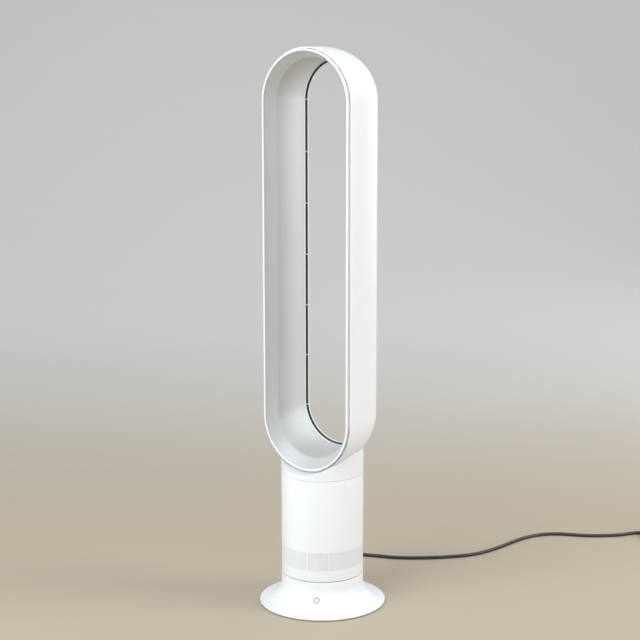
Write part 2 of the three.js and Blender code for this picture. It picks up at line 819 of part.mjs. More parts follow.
// A twisted blade: at each height it runs from its root to its tip, and turns as it rises.
function blade({ from, to, wrap, thickness, root, tip, start, steps }) {
  const rings = [];
  for (let i = 0; i <= steps; i++) {
    const t = i / steps;
    const z = from + (to - from) * t;
    const angle = start + wrap * t * (1.4 - 0.4 * t);
    const corner = (radius, side) => polar(radius, angle, z).add(polar(thickness / 2 * side, angle + 90));
    rings.push([corner(root(z), -1), corner(tip(z), -1), corner(tip(z), 1), corner(root(z), 1)]);
  }
  return skin(rings, false, [2]);     // both faces fold alike, so the blade keeps its thickness
}

// ---- motor and impeller ----------------------------------------------------------------------

const statorBottom = bucketSplit - statorHeight / 2;

function motorStator() {
  const outer = bucketRadius - bucketWall - gap;
  const core = ring(outer - 5, outer, statorBottom, statorBottom + statorHeight, hubSteps);
  const poles = Array.from({ length: 6 }, (_, i) => {
    const inner = magnetRadius + 0.8;
    const arm = box([inner + 2, -3, statorBottom + 2], [outer - 3, 3, statorBottom + statorHeight - 2]);
    const coil = box([inner + 4, -6, statorBottom - 1], [outer - 6.5, 6, statorBottom + statorHeight + 1]);
    const shoe = ringSector(inner, inner + 2.6, rad(44), statorBottom + 2, statorBottom + statorHeight - 2);
    return spun(joined(arm, coil, spun(shoe, 90)), i * 60);
  });
  return joined(core, ...poles);
}

function motorBoard() {
  const bottom = statorBottom + statorHeight + 1 + gap + 1.5;
  const plate = ring(seatInner + 4, bucketRadius - bucketWall - 3, bottom, bottom + 1.6, smallSteps);
  const feet = [30, 150, 270].map((angle) => {
    const place = polar(magnetRadius + 9.5, angle - 30);
    return disc(2, statorBottom + statorHeight + 1 + gap, bottom + 0.5, 6).translate(place.x, place.y, 0);
  });
  return joined(plate, ...feet);
}

function bearing(bottom) {
  return ring(shaftRadius + gap, bearingRadius, bottom, bottom + bearingHeight, smallSteps);
}

function motorShaft() {
  return disc(shaftRadius, impellerBottom - 3, upperBearing + bearingHeight + 1, 12);
}

function rotorMagnet() {
  return ring(shaftRadius + gap, magnetRadius, statorBottom - 1, statorBottom + statorHeight + 1, smallSteps);
}

// Outside of the impeller's hub: a nose that swells into a cone.
function hubAt(z) {
  const t = THREE.MathUtils.clamp((z - impellerBottom) / impellerHeight, 0, 1);
  return hubNose + (hubRadius - hubNose) * t ** 1.35;
}

function impeller() {
  const bore = shaftRadius + gap;
  const bottom = impellerBottom + 2;
  const top = impellerTop - 0.5;
  const heights = [bottom, bottom + 12, top];
  const hub = lathe([
    [bore, bottom], ...heights.map((z) => [hubAt(z), z]),
    [hubAt(top) - 4, top], [hubAt(top) - 12, top - 7],
    [bore + 4, top - 7], [bore + 4, top - 1], [bore, top - 1],
  ], 2 * bladeCount);
  const blades = Array.from({ length: bladeCount }, (_, i) => blade({
    from: bottom + 0.5, to: top - 0.3, wrap: bladeWrap, thickness: bladeThickness,
    root: (z) => hubAt(z) - 2.5, tip: (z) => shroudRadius(z) - airGap,
    start: (i + 0.2) * 360 / bladeCount, steps: 3,
  }));
  return joined(hub, ...blades);
}

function impellerNut() {
  const top = impellerBottom + 2 - gap;
  const bore = shaftRadius + gap;
  return lathe([
    [bore, top], [bore, top - 6], [hubNose - 3, top - 6], [hubNose - 0.5, top - 2], [hubNose, top],
  ], smallSteps);
}

// ---- loop ------------------------------------------------------------------------------------

const lipFront = loopBack - lipLength;

// How far the lower half circle's centre is raised, at a depth.
function liftAt(y) {
  if (y < creaseDepth) {
    return creaseLift * THREE.MathUtils.clamp((y - rimFront) / (creaseDepth - rimFront), 0, 1);
  }
  const t = (y - creaseDepth) / (lipFront - creaseDepth);
  return creaseLift + (slotLift - creaseLift) * THREE.MathUtils.clamp(t, 0, 1);
}

// The outer shell keeps its outline straight until its back starts to round in.
function shellLiftAt(y) {
  return slotLift * THREE.MathUtils.clamp((y - shellFull) / (lipFront - shellFull), 0, 1) ** 2;
}

// Places round the oval: the angle, and which half circle it belongs to.
function stations() {
  const half = (from, bottom) => Array.from({ length: arcSteps + 1 }, (_, i) => (
    { angle: rad(from + 180 * i / arcSteps), bottom }));
  return [...half(0, false), ...half(180, true)];
}

function onOval(station, y, radius, lift) {
  const centre = station.bottom ? archBottom + lift : archTop;
  return new THREE.Vector3(radius * Math.cos(station.angle), y, centre + radius * Math.sin(station.angle));
}

// A closed [depth, radius] section carried round the oval.
function ovalRing(section, lift) {
  return skin(stations().map((station) => (
    section.map(([y, radius]) => onOval(station, y, radius, lift(y))))), true);
}

// The rounded back, as points of a quarter ellipse inset from the outside.
function backCurve(offset, angles = [25, 48, 67, 84]) {
  const reach = loopBack - shellFull - offset;
  const depth = loopRadius - lipRadius - 2 - offset;
  return angles.map((degrees) => {
    const angle = rad(degrees);
    return [shellFull + reach * Math.sin(angle), loopRadius - offset - depth * (1 - Math.cos(angle))];
  });
}

function shellSection() {
  const inner = loopRadius - loopWall;
  const lipOuter = lipRadius + lipThickness;
  return [
    [shellFront, inner], [shellFront, loopRadius], [shellFull, loopRadius], ...backCurve(0),
    [loopBack, lipRadius + 1.4], [loopBack - 0.6, lipRadius], [lipFront, lipRadius],
    [lipFront, lipOuter], [loopBack - loopWall, lipOuter],
    ...backCurve(loopWall, [84, 58]), [shellFull, inner],
  ];
}

function nozzleRear() {
  return lipFront + slotOverlap;
}

function slotRadius() {
  return lipRadius + lipThickness + slotWidth;
}

// Inner radius of the silver wall: a gentle curve from the slot to the crease, then a flat flare.
function nozzleInner(y) {
  if (y < creaseDepth) {
    const t = (creaseDepth - y) / (creaseDepth - rimFront - 1);
    return creaseRadius + (rimInner - creaseRadius) * t;
  }
  const t = (nozzleRear() - y) / (nozzleRear() - creaseDepth);
  return slotRadius() + (creaseRadius - slotRadius()) * Math.sin(t * Math.PI / 2);
}

const flangeFront = rimFront + rimDepth + gap;

function nozzleSection() {
  const rear = nozzleRear();
  const out = (y, extra) => nozzleInner(y) + extra;
  const middle = (rear + creaseDepth) / 2;
  const inside = [rear, middle, creaseDepth, flangeFront].map((y) => [y, nozzleInner(y)]);
  const outside = [creaseDepth + 1, middle].map((y) => [y, out(y, nozzleWall)]);
  return [
    ...inside,
    [flangeFront, rimRadius - 0.4], [flangeFront + 2, rimRadius - 0.4],
    [flangeFront + 2.2, out(flangeFront + 2.2, nozzleWall + 0.3)],
    ...outside, [rear - 1.5, out(rear, nozzleWall)], [rear, out(rear, 0.6)],
  ];
}

// Small nubs on the silver wall keep the slot open, seven down each side.
function slotSpacers() {
  const rear = nozzleRear();
  const inner = lipRadius + lipThickness + gap;
  const count = Math.floor((archTop - archBottom) / spacerPitch) + 1;
  const spacers = [];
  for (const side of [-1, 1]) {
    for (let i = 0; i < count; i++) {
      const z = archTop - i * spacerPitch;
      const edges = [side * inner, side * (slotRadius() + 1)].sort((a, b) => a - b);
      spacers.push(box([edges[0], rear - 1.9, z - 1.5], [edges[1], rear - 0.2, z + 1.5]));
    }
  }
  return spacers;
}

function loopNozzle() {
  return joined(ovalRing(nozzleSection(), liftAt), ...slotSpacers());
}

function mouthPrism(extra) {
  const [x, y] = [mouthWidth / 2 + extra, mouthDepth / 2 + extra];
  const corner = 10;
  const outline = [
    [x - corner, -y], [x, -y + corner], [x, y - corner], [x - corner, y],
    [-x + corner, y], [-x, y - corner], [-x, -y + corner], [-x + corner, -y],
  ];
  return prism(outline, archBottom - loopRadius - 12, archBottom - loopRadius + 15);
}

function loopOuterShell() {
  return cut(ovalRing(shellSection(), shellLiftAt), mouthPrism(0));
}

function loopSeal() {
  const front = flangeFront + 2 + gap;
  const outer = loopRadius - loopWall - gap;
  const inner = outer - 2.4;
  const back = front + 5;
  return ovalRing([[front, inner], [front, outer], [back, outer], [back, inner]], () => 0);
}

function frontRim() {
  const back = rimFront + rimDepth;
  return ovalRing([
    [back, rimInner - 0.5], [rimFront, rimInner], [rimFront, rimRadius - 0.9],
    [rimFront + 0.9, rimRadius], [back, rimRadius],
  ], () => 0);
}

// ---- neck ------------------------------------------------------------------------------------

// The loop's outside filled in and grown by a margin: what the saddle is cut with.
function loopEnvelope(margin) {
  const reach = bodyRadius + 10;
  const section = [
    [-reach, loopRadius], [shellFull, loopRadius], ...backCurve(0).slice(0, 3),
    [loopBack + 1, lipRadius + 3.5], [reach, lipRadius + 9],
  ];
  return skin(section.map(([y, radius]) => (
    stations().map((station) => onOval(station, y, radius + margin, shellLiftAt(y))))));
}

function neckCollar() {
  const top = archBottom - 20;
  const outside = disc(bodyRadius, neckBottom, top);
  const inside = disc(bodyBore, neckBottom - 1, top);
  const hollow = cut(inside, loopEnvelope(gap + bodyWall));
  const spigot = ring(bodyBore - gap - 2, bodyBore - gap, shellTop - 8, neckBottom + 3);
  const web = ring(bodyBore - gap - 2, bodyRadius - 1, neckBottom, neckBottom + 3);
  const collar = cut(cut(outside, loopEnvelope(gap)), hollow);
  return cut(joined(collar, web, spigot), mouthPrism(0));
}

// ---- cord ------------------------------------------------------------------------------------

// A solid round bar along a smooth curve through the points.
function tube(points, radius, steps, sides) {
  const section = new THREE.Shape(Array.from({ length: sides }, (_, i) => {
    const angle = 2 * Math.PI * (i + 0.5) / sides;
    return new THREE.Vector2(radius * Math.cos(angle), radius * Math.sin(angle));
  }));
  const extrudePath = new THREE.CatmullRomCurve3(points, false, 'centripetal');
  return new THREE.ExtrudeGeometry(section, { steps, bevelEnabled: false, extrudePath });
}

const floorLine = cordRadius + 0.05;
const coilLift = tieThickness + gap;

// Where the cord lies, from the strain relief to the coil; the first points leave the base.
function runPoints() {
  const exit = glandPoint.clone().add(new THREE.Vector3(0, glandLength + gap, 0));
  exit.applyAxisAngle(new THREE.Vector3(0, 0, 1), rad(baseTurn));
  const onFloor = [
    [-87, 166], [-94, 187], [-96, 207], [-91, 226], [-80, 241], [-65, 249.5], [-47.8, 255.6],
    [-15.2, 268], [19.9, 290], [49.4, 314.4], [76.6, 342.1], [96.8, 368], [111.6, 402],
    [122, 451], [128, 499], [138.5, 542], [157.5, 573.3], [178.8, 590.5], [204.6, 602.5],
    [232.6, 616], [262, 637.5], [284.6, 660], [301.7, 686.7],
  ];
  const step = new THREE.Vector3(-Math.sin(rad(baseTurn)), Math.cos(rad(baseTurn)), 0);
  const drop = [[0, glandHeight], [9, glandHeight - 0.4], [20, glandHeight - 3], [34, 8.4]];
  const leaving = drop.map(([reach, z]) => exit.clone().addScaledVector(step, reach).setZ(z));
  const touching = new THREE.Vector3(-80, 149, 4.4);
  return [...leaving, touching, ...onFloor.map(([x, y]) => new THREE.Vector3(x, y, floorLine))];
}

// The coil winds inwards on the floor, climbs a layer in half a turn, and winds out again on top.
const coilMiddle = new THREE.Vector3(365, 710, 0);
const coilStart = 165;            // degrees, where the cord joins the outermost turn

function coilPoint(turn, meanRadius) {
  const layerTurns = (coilTurns - 0.5) / 2;
  const outer = meanRadius + coilPitch * layerTurns / 2;
  const climb = THREE.MathUtils.clamp((turn - layerTurns) / 0.5, 0, 1);
  const inwards = Math.min(turn, layerTurns);
  const outwards = Math.max(0, turn - layerTurns - 0.5);
  const dip = 1.5 * Math.sin(Math.PI * climb);
  const radius = outer - coilPitch * (inwards - outwards) - dip;
  const z = floorLine + coilLift + coilPitch * THREE.MathUtils.smoothstep(climb, 0, 1);
  return polar(radius, coilStart - 360 * turn, z).add(coilMiddle);
}

function coilLine(meanRadius) {
  const count = Math.round(coilTurns * 24);
  return Array.from({ length: count + 1 }, (_, i) => coilPoint(i * coilTurns / count, meanRadius));
}

function lengthOf(points) {
  return points.slice(1).reduce((sum, point, i) => sum + point.distanceTo(points[i]), 0);
}

// Rings of a bar's outline, each square to the way it runs.
function barRings(line, radius, sides) {
  return line.map((point, i) => {
    const before = line[Math.max(0, i - 1)];
    const after = line[Math.min(line.length - 1, i + 1)];
    const ahead = after.clone().sub(before).normalize();
    const across = new THREE.Vector3(0, 0, 1).cross(ahead).normalize();
    const up = ahead.clone().cross(across);
    return Array.from({ length: sides }, (_, k) => {
      const angle = 2 * Math.PI * (k + 0.5) / sides;
      return point.clone().addScaledVector(across, radius * Math.cos(angle))
        .addScaledVector(up, radius * Math.sin(angle));
    });
  });
}

function leastSelfGap(line, apart) {
  let least = Infinity;
  for (let i = 0; i < line.length; i++) {
    for (let j = i + apart; j < line.length; j++) least = Math.min(least, line[i].distanceTo(line[j]));
  }
  return least - 2 * cordRadius;
}

// The run ends where the coil begins, heading the same way.
function runLine() {
  const start = coilPoint(0, coilMean);
  const ahead = coilPoint(0.01, coilMean).sub(start).normalize();
  const near = start.clone().addScaledVector(ahead, -26).setZ(floorLine + 0.2);
  const end = start.clone().addScaledVector(ahead, -gap);
  return [...runPoints(), near, start.clone().addScaledVector(ahead, -9), end];
}

function tailLine() {
  const end = coilPoint(coilTurns, coilMean);
  const ahead = end.clone().sub(coilPoint(coilTurns - 0.01, coilMean)).normalize();
  const start = end.clone().addScaledVector(ahead, gap);
  return [start, start.clone().addScaledVector(ahead, 8),
    start.clone().addScaledVector(ahead, 26).setZ(plug.middle + 1.5),
    start.clone().addScaledVector(ahead, 40).setZ(plug.middle),
    start.clone().addScaledVector(ahead, tailReach).setZ(plug.middle)];
}

const plug = {
  length: 34, width: 26, height: 14, middle: 7.3, neck: 12,
  pinSpread: 19, pinRadius: 2, pinLength: 19,
};
const tailReach = 48;
const coilMean = fitCoil();

// The mean radius that leaves the whole cord at its real length.
function fitCoil() {
  const shown = new THREE.CatmullRomCurve3(runPoints(), false, 'centripetal').getLength();
  let mean = 36;
  for (let i = 0; i < 6; i++) {
    const left = cordLength - shown - tailReach - runPoints().at(-1).distanceTo(coilPoint(0, mean));
    mean *= left / lengthOf(coilLine(mean));
  }
  return mean;
}

function cordCoil() {
  const line = coilLine(coilMean);
  const least = leastSelfGap(line, 18).toFixed(2);
  console.log(`coil: mean radius ${coilMean.toFixed(1)} mm, least gap ${least} mm`);
  return skin(barRings(line, cordRadius, 6));
}

// A strap round the bundle, laid across it where the coil is three turns wide.
function cordTie() {
  const angle = coilStart - 360 * 0.62;
  const half = coilPitch * (coilTurns - 0.5) / 4 + cordRadius + 5 * gap;
  const [low, high] = [coilLift + 0.05 - gap, coilLift + 2 * cordRadius + coilPitch + gap + 0.05];
  const width = 9;
  const outer = box([coilMean - half - tieThickness, -width / 2, low - tieThickness + 0.02],
    [coilMean + half + tieThickness, width / 2, high + tieThickness]);
  const inner = box([coilMean - half, -width, low], [coilMean + half, width, high]);
  return spun(cut(outer, inner), angle).translate(coilMiddle.x, coilMiddle.y, 0);
}

// The plug lies flat, its pins pointing away from the cord.
function plugFrame() {
  const line = tailLine();
  const tip = line.at(-1);
  const ahead = tip.clone().sub(line[1]).setZ(0).normalize();
  return { tip, ahead, angle: Math.atan2(ahead.y, ahead.x) };
}

function plugPart(geometry) {
  const { tip, angle } = plugFrame();
  return geometry.rotateZ(angle).translate(tip.x, tip.y, tip.z);
}

function plugBody() {
  const [w, h] = [plug.width / 2, plug.height / 2];
  const slice = (x, halfWidth, halfHeight) => Array.from({ length: 10 }, (_, i) => {
    const angle = 2 * Math.PI * (i + 0.5) / 10;
    const squared = 1.14;
    const [c, s] = [Math.cos(angle), Math.sin(angle)];
    const y = Math.max(-1, Math.min(1, c * squared)) * halfWidth;
    const z = Math.max(-1, Math.min(1, s * squared)) * halfHeight;
    return new THREE.Vector3(x, y, z);
  });
  const neck = cordRadius + 1.4;
  const body = skin([
    slice(gap, neck, neck), slice(plug.neck, neck + 0.6, neck + 0.4), slice(plug.neck + 5, w * 0.8, h * 0.85),
    slice(plug.neck + 12, w, h), slice(plug.neck + plug.length - 2, w * 0.94, h * 0.94),
    slice(plug.neck + plug.length, w * 0.88, h * 0.86),
  ]);
  const sockets = [-1, 1].map((side) => pinSolid(side, plug.pinRadius + gap, -8, 2));
  return plugPart(cut(body, ...sockets));
}

function pinSolid(side, radius, from, to) {
  const front = plug.neck + plug.length;
  return disc(radius, from, to, 10).rotateY(Math.PI / 2)
    .translate(front, side * plug.pinSpread / 2, 0);
}

function plugPin(side) {
  return plugPart(pinSolid(side, plug.pinRadius, -7, plug.pinLength));
}

// ---- assembly --------------------------------------------------------------------------------

add(base, 'base_housing', baseHousing(), 'whiteShell');
add(base, 'floor_plate', floorPlate(), 'darkPlastic');
add(base, 'foot_ring', footRing(), 'blackRubber');
screwPlaces().forEach((place, i) => add(base, `floor_screw_${i + 1}`, floorScrew(place), 'steel'));
add(base, 'bearing_ring', bearingRing(), 'darkPlastic');
add(base, 'pivot_cap', pivotCap(), 'acetal');
add(base, 'swivel_motor', swivelMotor(), 'steel');
add(base, 'drive_pinion', drivePinion(), 'acetal');
add(base, 'power_board', powerBoard(), 'circuit');
add(base, 'inner_lead', innerLead(), 'cordGrey');
add(base, 'cord_clamp', cordClamp(), 'greyPlastic');
add(base, 'cord_gland', cordGland(), 'cordGrey');
add(base, 'button_surround', buttonSurround(), 'greyPlastic');
add(base, 'power_button', powerButton(), 'whiteShell');
add(base, 'button_switch', buttonSwitch(), 'darkPlastic');

add(head, 'turntable', turntable(), 'acetal');
add(head, 'body_shell', bodyShell(), 'whiteShell');
add(head, 'inlet_grille', inletGrille(), 'grille');
add(head, 'silencer_lower', silencerLower(), 'foam');
add(head, 'silencer_upper', silencerUpper(), 'foam');
add(head, 'bellmouth', bellmouth(), 'greyPlastic');
add(head, 'impeller_housing', impellerHousing(), 'greyPlastic');
for (let i = 0; i < 3; i++) add(head, `isolator_${i + 1}`, isolator(i), 'blackRubber');
add(head, 'housing_seal', housingSeal(), 'blackRubber');
add(head, 'motor_bucket', motorBucket(), 'greyPlastic');
add(head, 'diffuser', diffuser(), 'greyPlastic');
add(head, 'motor_stator', motorStator(), 'copper');
add(head, 'motor_board', motorBoard(), 'circuit');
add(head, 'bearing_lower', bearing(bucketBottom + 0.4), 'steel');
add(head, 'bearing_upper', bearing(upperBearing), 'steel');
add(head, 'display_board', displayBoard(), 'circuit');
add(head, 'neck_collar', neckCollar(), 'whiteShell');
add(head, 'loop_outer_shell', loopOuterShell(), 'whiteShell');
add(head, 'loop_nozzle', loopNozzle(), 'silver');
add(head, 'loop_seal', loopSeal(), 'darkPlastic');
add(head, 'front_rim', frontRim(), 'whiteShell');

add(head, 'motor_shaft', motorShaft(), 'steel');
add(head, 'rotor_magnet', rotorMagnet(), 'darkPlastic');
add(head, 'impeller', impeller(), 'darkPlastic');
add(head, 'impeller_nut', impellerNut(), 'brass');

add(fan, 'cord_run', tube(runLine(), cordRadius, 46, 8), 'cordGrey');
add(fan, 'cord_coil', cordCoil(), 'cordGrey');
add(fan, 'cord_tail', tube(tailLine(), cordRadius, 6, 8), 'cordGrey');
add(fan, 'cord_tie', cordTie(), 'blackRubber');
add(fan, 'plug_body', plugBody(), 'blackRubber');
add(fan, 'plug_pin_1', plugPin(-1), 'steel');
add(fan, 'plug_pin_2', plugPin(1), 'steel');

export default fan;
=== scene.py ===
import json
import math
import bpy
import bmesh
from mathutils import Matrix, Vector


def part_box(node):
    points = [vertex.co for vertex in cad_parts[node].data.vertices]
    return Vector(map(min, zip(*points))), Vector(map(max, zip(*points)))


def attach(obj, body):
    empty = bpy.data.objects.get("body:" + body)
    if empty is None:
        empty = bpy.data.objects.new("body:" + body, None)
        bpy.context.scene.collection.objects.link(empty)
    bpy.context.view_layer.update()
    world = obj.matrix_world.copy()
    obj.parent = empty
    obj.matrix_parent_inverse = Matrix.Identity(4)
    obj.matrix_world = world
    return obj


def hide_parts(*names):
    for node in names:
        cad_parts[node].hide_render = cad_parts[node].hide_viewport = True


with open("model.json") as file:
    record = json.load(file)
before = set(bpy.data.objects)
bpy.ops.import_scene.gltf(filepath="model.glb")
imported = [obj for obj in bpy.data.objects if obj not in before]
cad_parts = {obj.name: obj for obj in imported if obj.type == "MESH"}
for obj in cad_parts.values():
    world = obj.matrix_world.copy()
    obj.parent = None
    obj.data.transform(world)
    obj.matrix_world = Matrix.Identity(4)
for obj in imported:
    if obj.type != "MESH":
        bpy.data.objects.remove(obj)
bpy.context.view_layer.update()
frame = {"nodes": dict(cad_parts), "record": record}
print("frame loaded:", len(frame["nodes"]), "nodes")

mm = 0.001
baseTurn = 28                     # degrees from the head's front to the base's front
turnBase = Matrix.Rotation(math.radians(baseTurn), 4, "Z")
shellLow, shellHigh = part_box("body_shell")
bodyRadius = shellHigh.x / mm
shellBottom = shellLow.z / mm
shellTop = shellHigh.z / mm

cameraValues = {
    "distance": 2.8347,           # metres from the fan's axis, along the floor
    "height": 1.0516,
    "azimuth": 35.83,             # degrees round from the front of the loop
    "aside": 0.08,                # degrees that it looks past the axis
    "down": 10.533,
    "roll": -0.06,
    "focal": 1612.8,              # in pixels of the 640 wide picture
    "pictureWidth": 640,
    "sensor": 36.0,
    "clipEnd": 60,
}


def addObject(name, data):
    thing = bpy.data.objects.new(name, data)
    bpy.context.scene.collection.objects.link(thing)
    return thing


def aroundFan(azimuth, distance, height):
    # a place in metres, with the azimuth in degrees round from the front of the loop
    angle = math.radians(azimuth)
    return Vector((math.sin(angle) * distance, -math.cos(angle) * distance, height))


def makeCamera(values):
    data = bpy.data.cameras.new("camera")
    data.sensor_fit = "HORIZONTAL"
    data.sensor_width = values["sensor"]
    data.lens = values["focal"] * values["sensor"] / values["pictureWidth"]
    data.clip_end = values["clipEnd"]
    camera = addObject("camera", data)
    place = aroundFan(values["azimuth"], values["distance"], values["height"])
    heading = Matrix.Rotation(math.radians(values["azimuth"] + values["aside"]), 4, "Z")
    tilt = Matrix.Rotation(math.radians(90 - values["down"]), 4, "X")
    roll = Matrix.Rotation(math.radians(values["roll"]), 4, "Z")
    camera.matrix_world = Matrix.Translation(place) @ heading @ tilt @ roll
    bpy.context.scene.camera = camera


makeCamera(cameraValues)
print("camera set")


def startMaterial(name, sockets):
    # a new material with constants on its shader's own sockets
    material = bpy.data.materials.new(name)
    material.use_nodes = True
    for key, value in sockets.items():
        shaderInputs(material.node_tree)[key].default_value = value
    return material, material.node_tree


def shaderInputs(tree):
    return tree.nodes["Principled BSDF"].inputs


def addNode(tree, kind, settings=None, values=None):
    node = tree.nodes.new(kind)
    for key, value in (settings or {}).items():
        setattr(node, key, value)
    for key, value in (values or {}).items():
        node.inputs[key].default_value = value
    return node


def join(tree, source, target):
    tree.links.new(source, target)


def addRamp(tree, source, values, smooth=False):
    kind = "SMOOTHSTEP" if smooth else "LINEAR"
    ramp = addNode(tree, "ShaderNodeMapRange", {"interpolation_type": kind}, values)
    join(tree, source, ramp.inputs["Value"])
    return ramp.outputs["Result"]


def mixColour(tree, factor, first, second):
    # first and second are colours or sockets
    mix = addNode(tree, "ShaderNodeMix", {"data_type": "RGBA"})
    join(tree, factor, mix.inputs["Factor"])
    for label, given in (("A", first), ("B", second)):
        if isinstance(given, tuple):
            mix.inputs[label].default_value = (*given, 1)
        else:
            join(tree, given, mix.inputs[label])
    return mix.outputs["Result"]


stageValues = {
    "near": (0.462, 0.396, 0.302),
    "far": (0.715, 0.708, 0.685),
    "blendStart": 0.35,           # metres behind the fan where the floor starts to turn grey
    "blendEnd": 2.6,
    "wallAt": 4.4,
    "wallRise": 3.0,
    "sweep": 2.4,                 # radius of the bend from floor to wall
    "sweepSteps": 16,
    "halfWidth": 9.0,
    "front": 5.0,
    "roughness": 0.75,
    "specular": 0.25,
}

lightValues = [
    # name, degrees round from the camera, height, distance, size, watts, colour
    ("keyLeft", -44, 1.6, 2.5, (2.0, 2.4), 69, (0.89, 0.945, 1.0)),
    ("sideRight", 78, 1.4, 2.5, (1.0, 2.6), 42, (0.94, 0.968, 1.0)),
    ("backRight", 132, 1.3, 2.6, (1.6, 2.4), 12, (0.96, 0.978, 1.0)),
    ("overhead", 0, 3.2, 0.5, (2.8, 2.8), 21, (0.97, 0.985, 1.0)),
]

airValues = {"colour": (0.95, 0.975, 1.0), "strength": 0.555, "lightsAimAt": (0, 0, 0.5)}


def makeStage(values):
    # a floor that bends up into a wall, square to the line from the camera to the fan
    rows = [(-values["front"], 0.0), (0.0, 0.0)]
    for i in range(values["sweepSteps"] + 1):
        angle = math.radians(90 * i / values["sweepSteps"])
        along = values["wallAt"] - values["sweep"] + values["sweep"] * math.sin(angle)
        rows.append((along, values["sweep"] * (1 - math.cos(angle))))
    rows.append((values["wallAt"], values["sweep"] + values["wallRise"]))
    verts = [(side * values["halfWidth"], *row) for row in rows for side in (-1, 1)]
    faces = [(i, i + 1, i + 3, i + 2) for i in range(0, len(verts) - 2, 2)]
    mesh = bpy.data.meshes.new("studio")
    mesh.from_pydata(verts, [], faces)
    mesh.shade_smooth()
    studio = addObject("studio", mesh)
    studio.rotation_euler.z = math.radians(cameraValues["azimuth"])
    material, tree = startMaterial("studioPaper", {
        "Roughness": values["roughness"], "Specular IOR Level": values["specular"]})
    place = addNode(tree, "ShaderNodeTexCoord")
    split = addNode(tree, "ShaderNodeSeparateXYZ")
    join(tree, place.outputs["Object"], split.inputs["Vector"])
    blend = addRamp(tree, split.outputs["Y"],
                    {"From Min": values["blendStart"], "From Max": values["blendEnd"]}, smooth=True)
    join(tree, mixColour(tree, blend, values["near"], values["far"]), shaderInputs(tree)["Base Color"])
    mesh.materials.append(material)


def makeLights(rows, air):
    aim = Vector(air["lightsAimAt"])
    for name, turn, height, distance, size, watts, colour in rows:
        data = bpy.data.lights.new(name, "AREA")
        data.shape = "RECTANGLE"
        data.size, data.size_y = size
        data.energy = watts
        data.color = colour
        light = addObject(name, data)
        light.location = aroundFan(cameraValues["azimuth"] + turn, distance, height)
        light.rotation_euler = (aim - light.location).to_track_quat("-Z", "Y").to_euler()
    world = bpy.data.worlds.new("studioAir")
    world.use_nodes = True
    sockets = world.node_tree.nodes["Background"].inputs
    sockets["Color"].default_value = (*air["colour"], 1)
    sockets["Strength"].default_value = air["strength"]
    bpy.context.scene.world = world
    bpy.context.scene.view_settings.view_transform = "Standard"


makeStage(stageValues)
makeLights(lightValues, airValues)
print("stage and light ready")


def newGroup(name, inputs, outputs):
    # a shader group with its own input sockets to read and output sockets to fill
    group = bpy.data.node_groups.new(name, "ShaderNodeTree")
    for label, kind, value in inputs:
        socket = group.interface.new_socket(label, in_out="INPUT", socket_type=kind)
        socket.default_value = value
    for label in outputs:
        group.interface.new_socket(label, in_out="OUTPUT", socket_type="NodeSocketFloat")
    given = addNode(group, "NodeGroupInput")
    out = addNode(group, "NodeGroupOutput")
    return group, given.outputs, out.inputs


def addNoise(tree, values, scale=None):
    # noise over the piece's own coordinates, at a scale from a socket or from the values
    place = addNode(tree, "ShaderNodeTexCoord")
    noise = addNode(tree, "ShaderNodeTexNoise", None, values)
    join(tree, place.outputs["Object"], noise.inputs["Vector"])
    if scale:
        join(tree, scale, noise.inputs["Scale"])
    return noise.outputs["Fac"]


def maskProduct(tree, first, second, amount):
    # two masks multiplied with each other and with an amount, kept between 0 and 1
    both = addNode(tree, "ShaderNodeMath", {"operation": "MULTIPLY"})
    scaled = addNode(tree, "ShaderNodeMath", {"operation": "MULTIPLY", "use_clamp": True})
    join(tree, first, both.inputs[0])
    join(tree, second, both.inputs[1])
    join(tree, both.outputs["Value"], scaled.inputs[0])
    join(tree, amount, scaled.inputs[1])
    return scaled.outputs["Value"]


def makeGrainGroup():
    # fine moulded grain for the bump, and a slow drift of tone
    group, given, out = newGroup("mouldGrain", [
        ("Grain Scale", "NodeSocketFloat", 900.0),
        ("Tone Scale", "NodeSocketFloat", 9.0),
    ], ["Height", "Tone"])
    fine = addNoise(group, {"Detail": 3.0, "Roughness": 0.6}, given["Grain Scale"])
    slow = addNoise(group, {"Detail": 4.0, "Roughness": 0.55, "Distortion": 0.4}, given["Tone Scale"])
    join(group, fine, out["Height"])
    join(group, addRamp(group, slow, {"From Min": 0.2, "From Max": 0.8}, smooth=True), out["Tone"])
    return group


def makeDustGroup():
    # dust lies on what faces up, in soft uneven patches
    group, given, out = newGroup("settledDust", [
        ("Amount", "NodeSocketFloat", 0.1),
        ("Patch Scale", "NodeSocketFloat", 40.0),
    ], ["Mask"])
    face = addNode(group, "ShaderNodeNewGeometry")
    split = addNode(group, "ShaderNodeSeparateXYZ")
    join(group, face.outputs["Normal"], split.inputs["Vector"])
    up = addRamp(group, split.outputs["Z"], {"From Min": 0.1, "From Max": 1.0})
    patch = addNoise(group, {"Detail": 6.0, "Roughness": 0.7}, given["Patch Scale"])
    uneven = addRamp(group, patch, {"From Min": 0.3, "From Max": 0.8}, smooth=True)
    join(group, maskProduct(group, up, uneven, given["Amount"]), out["Mask"])
    return group


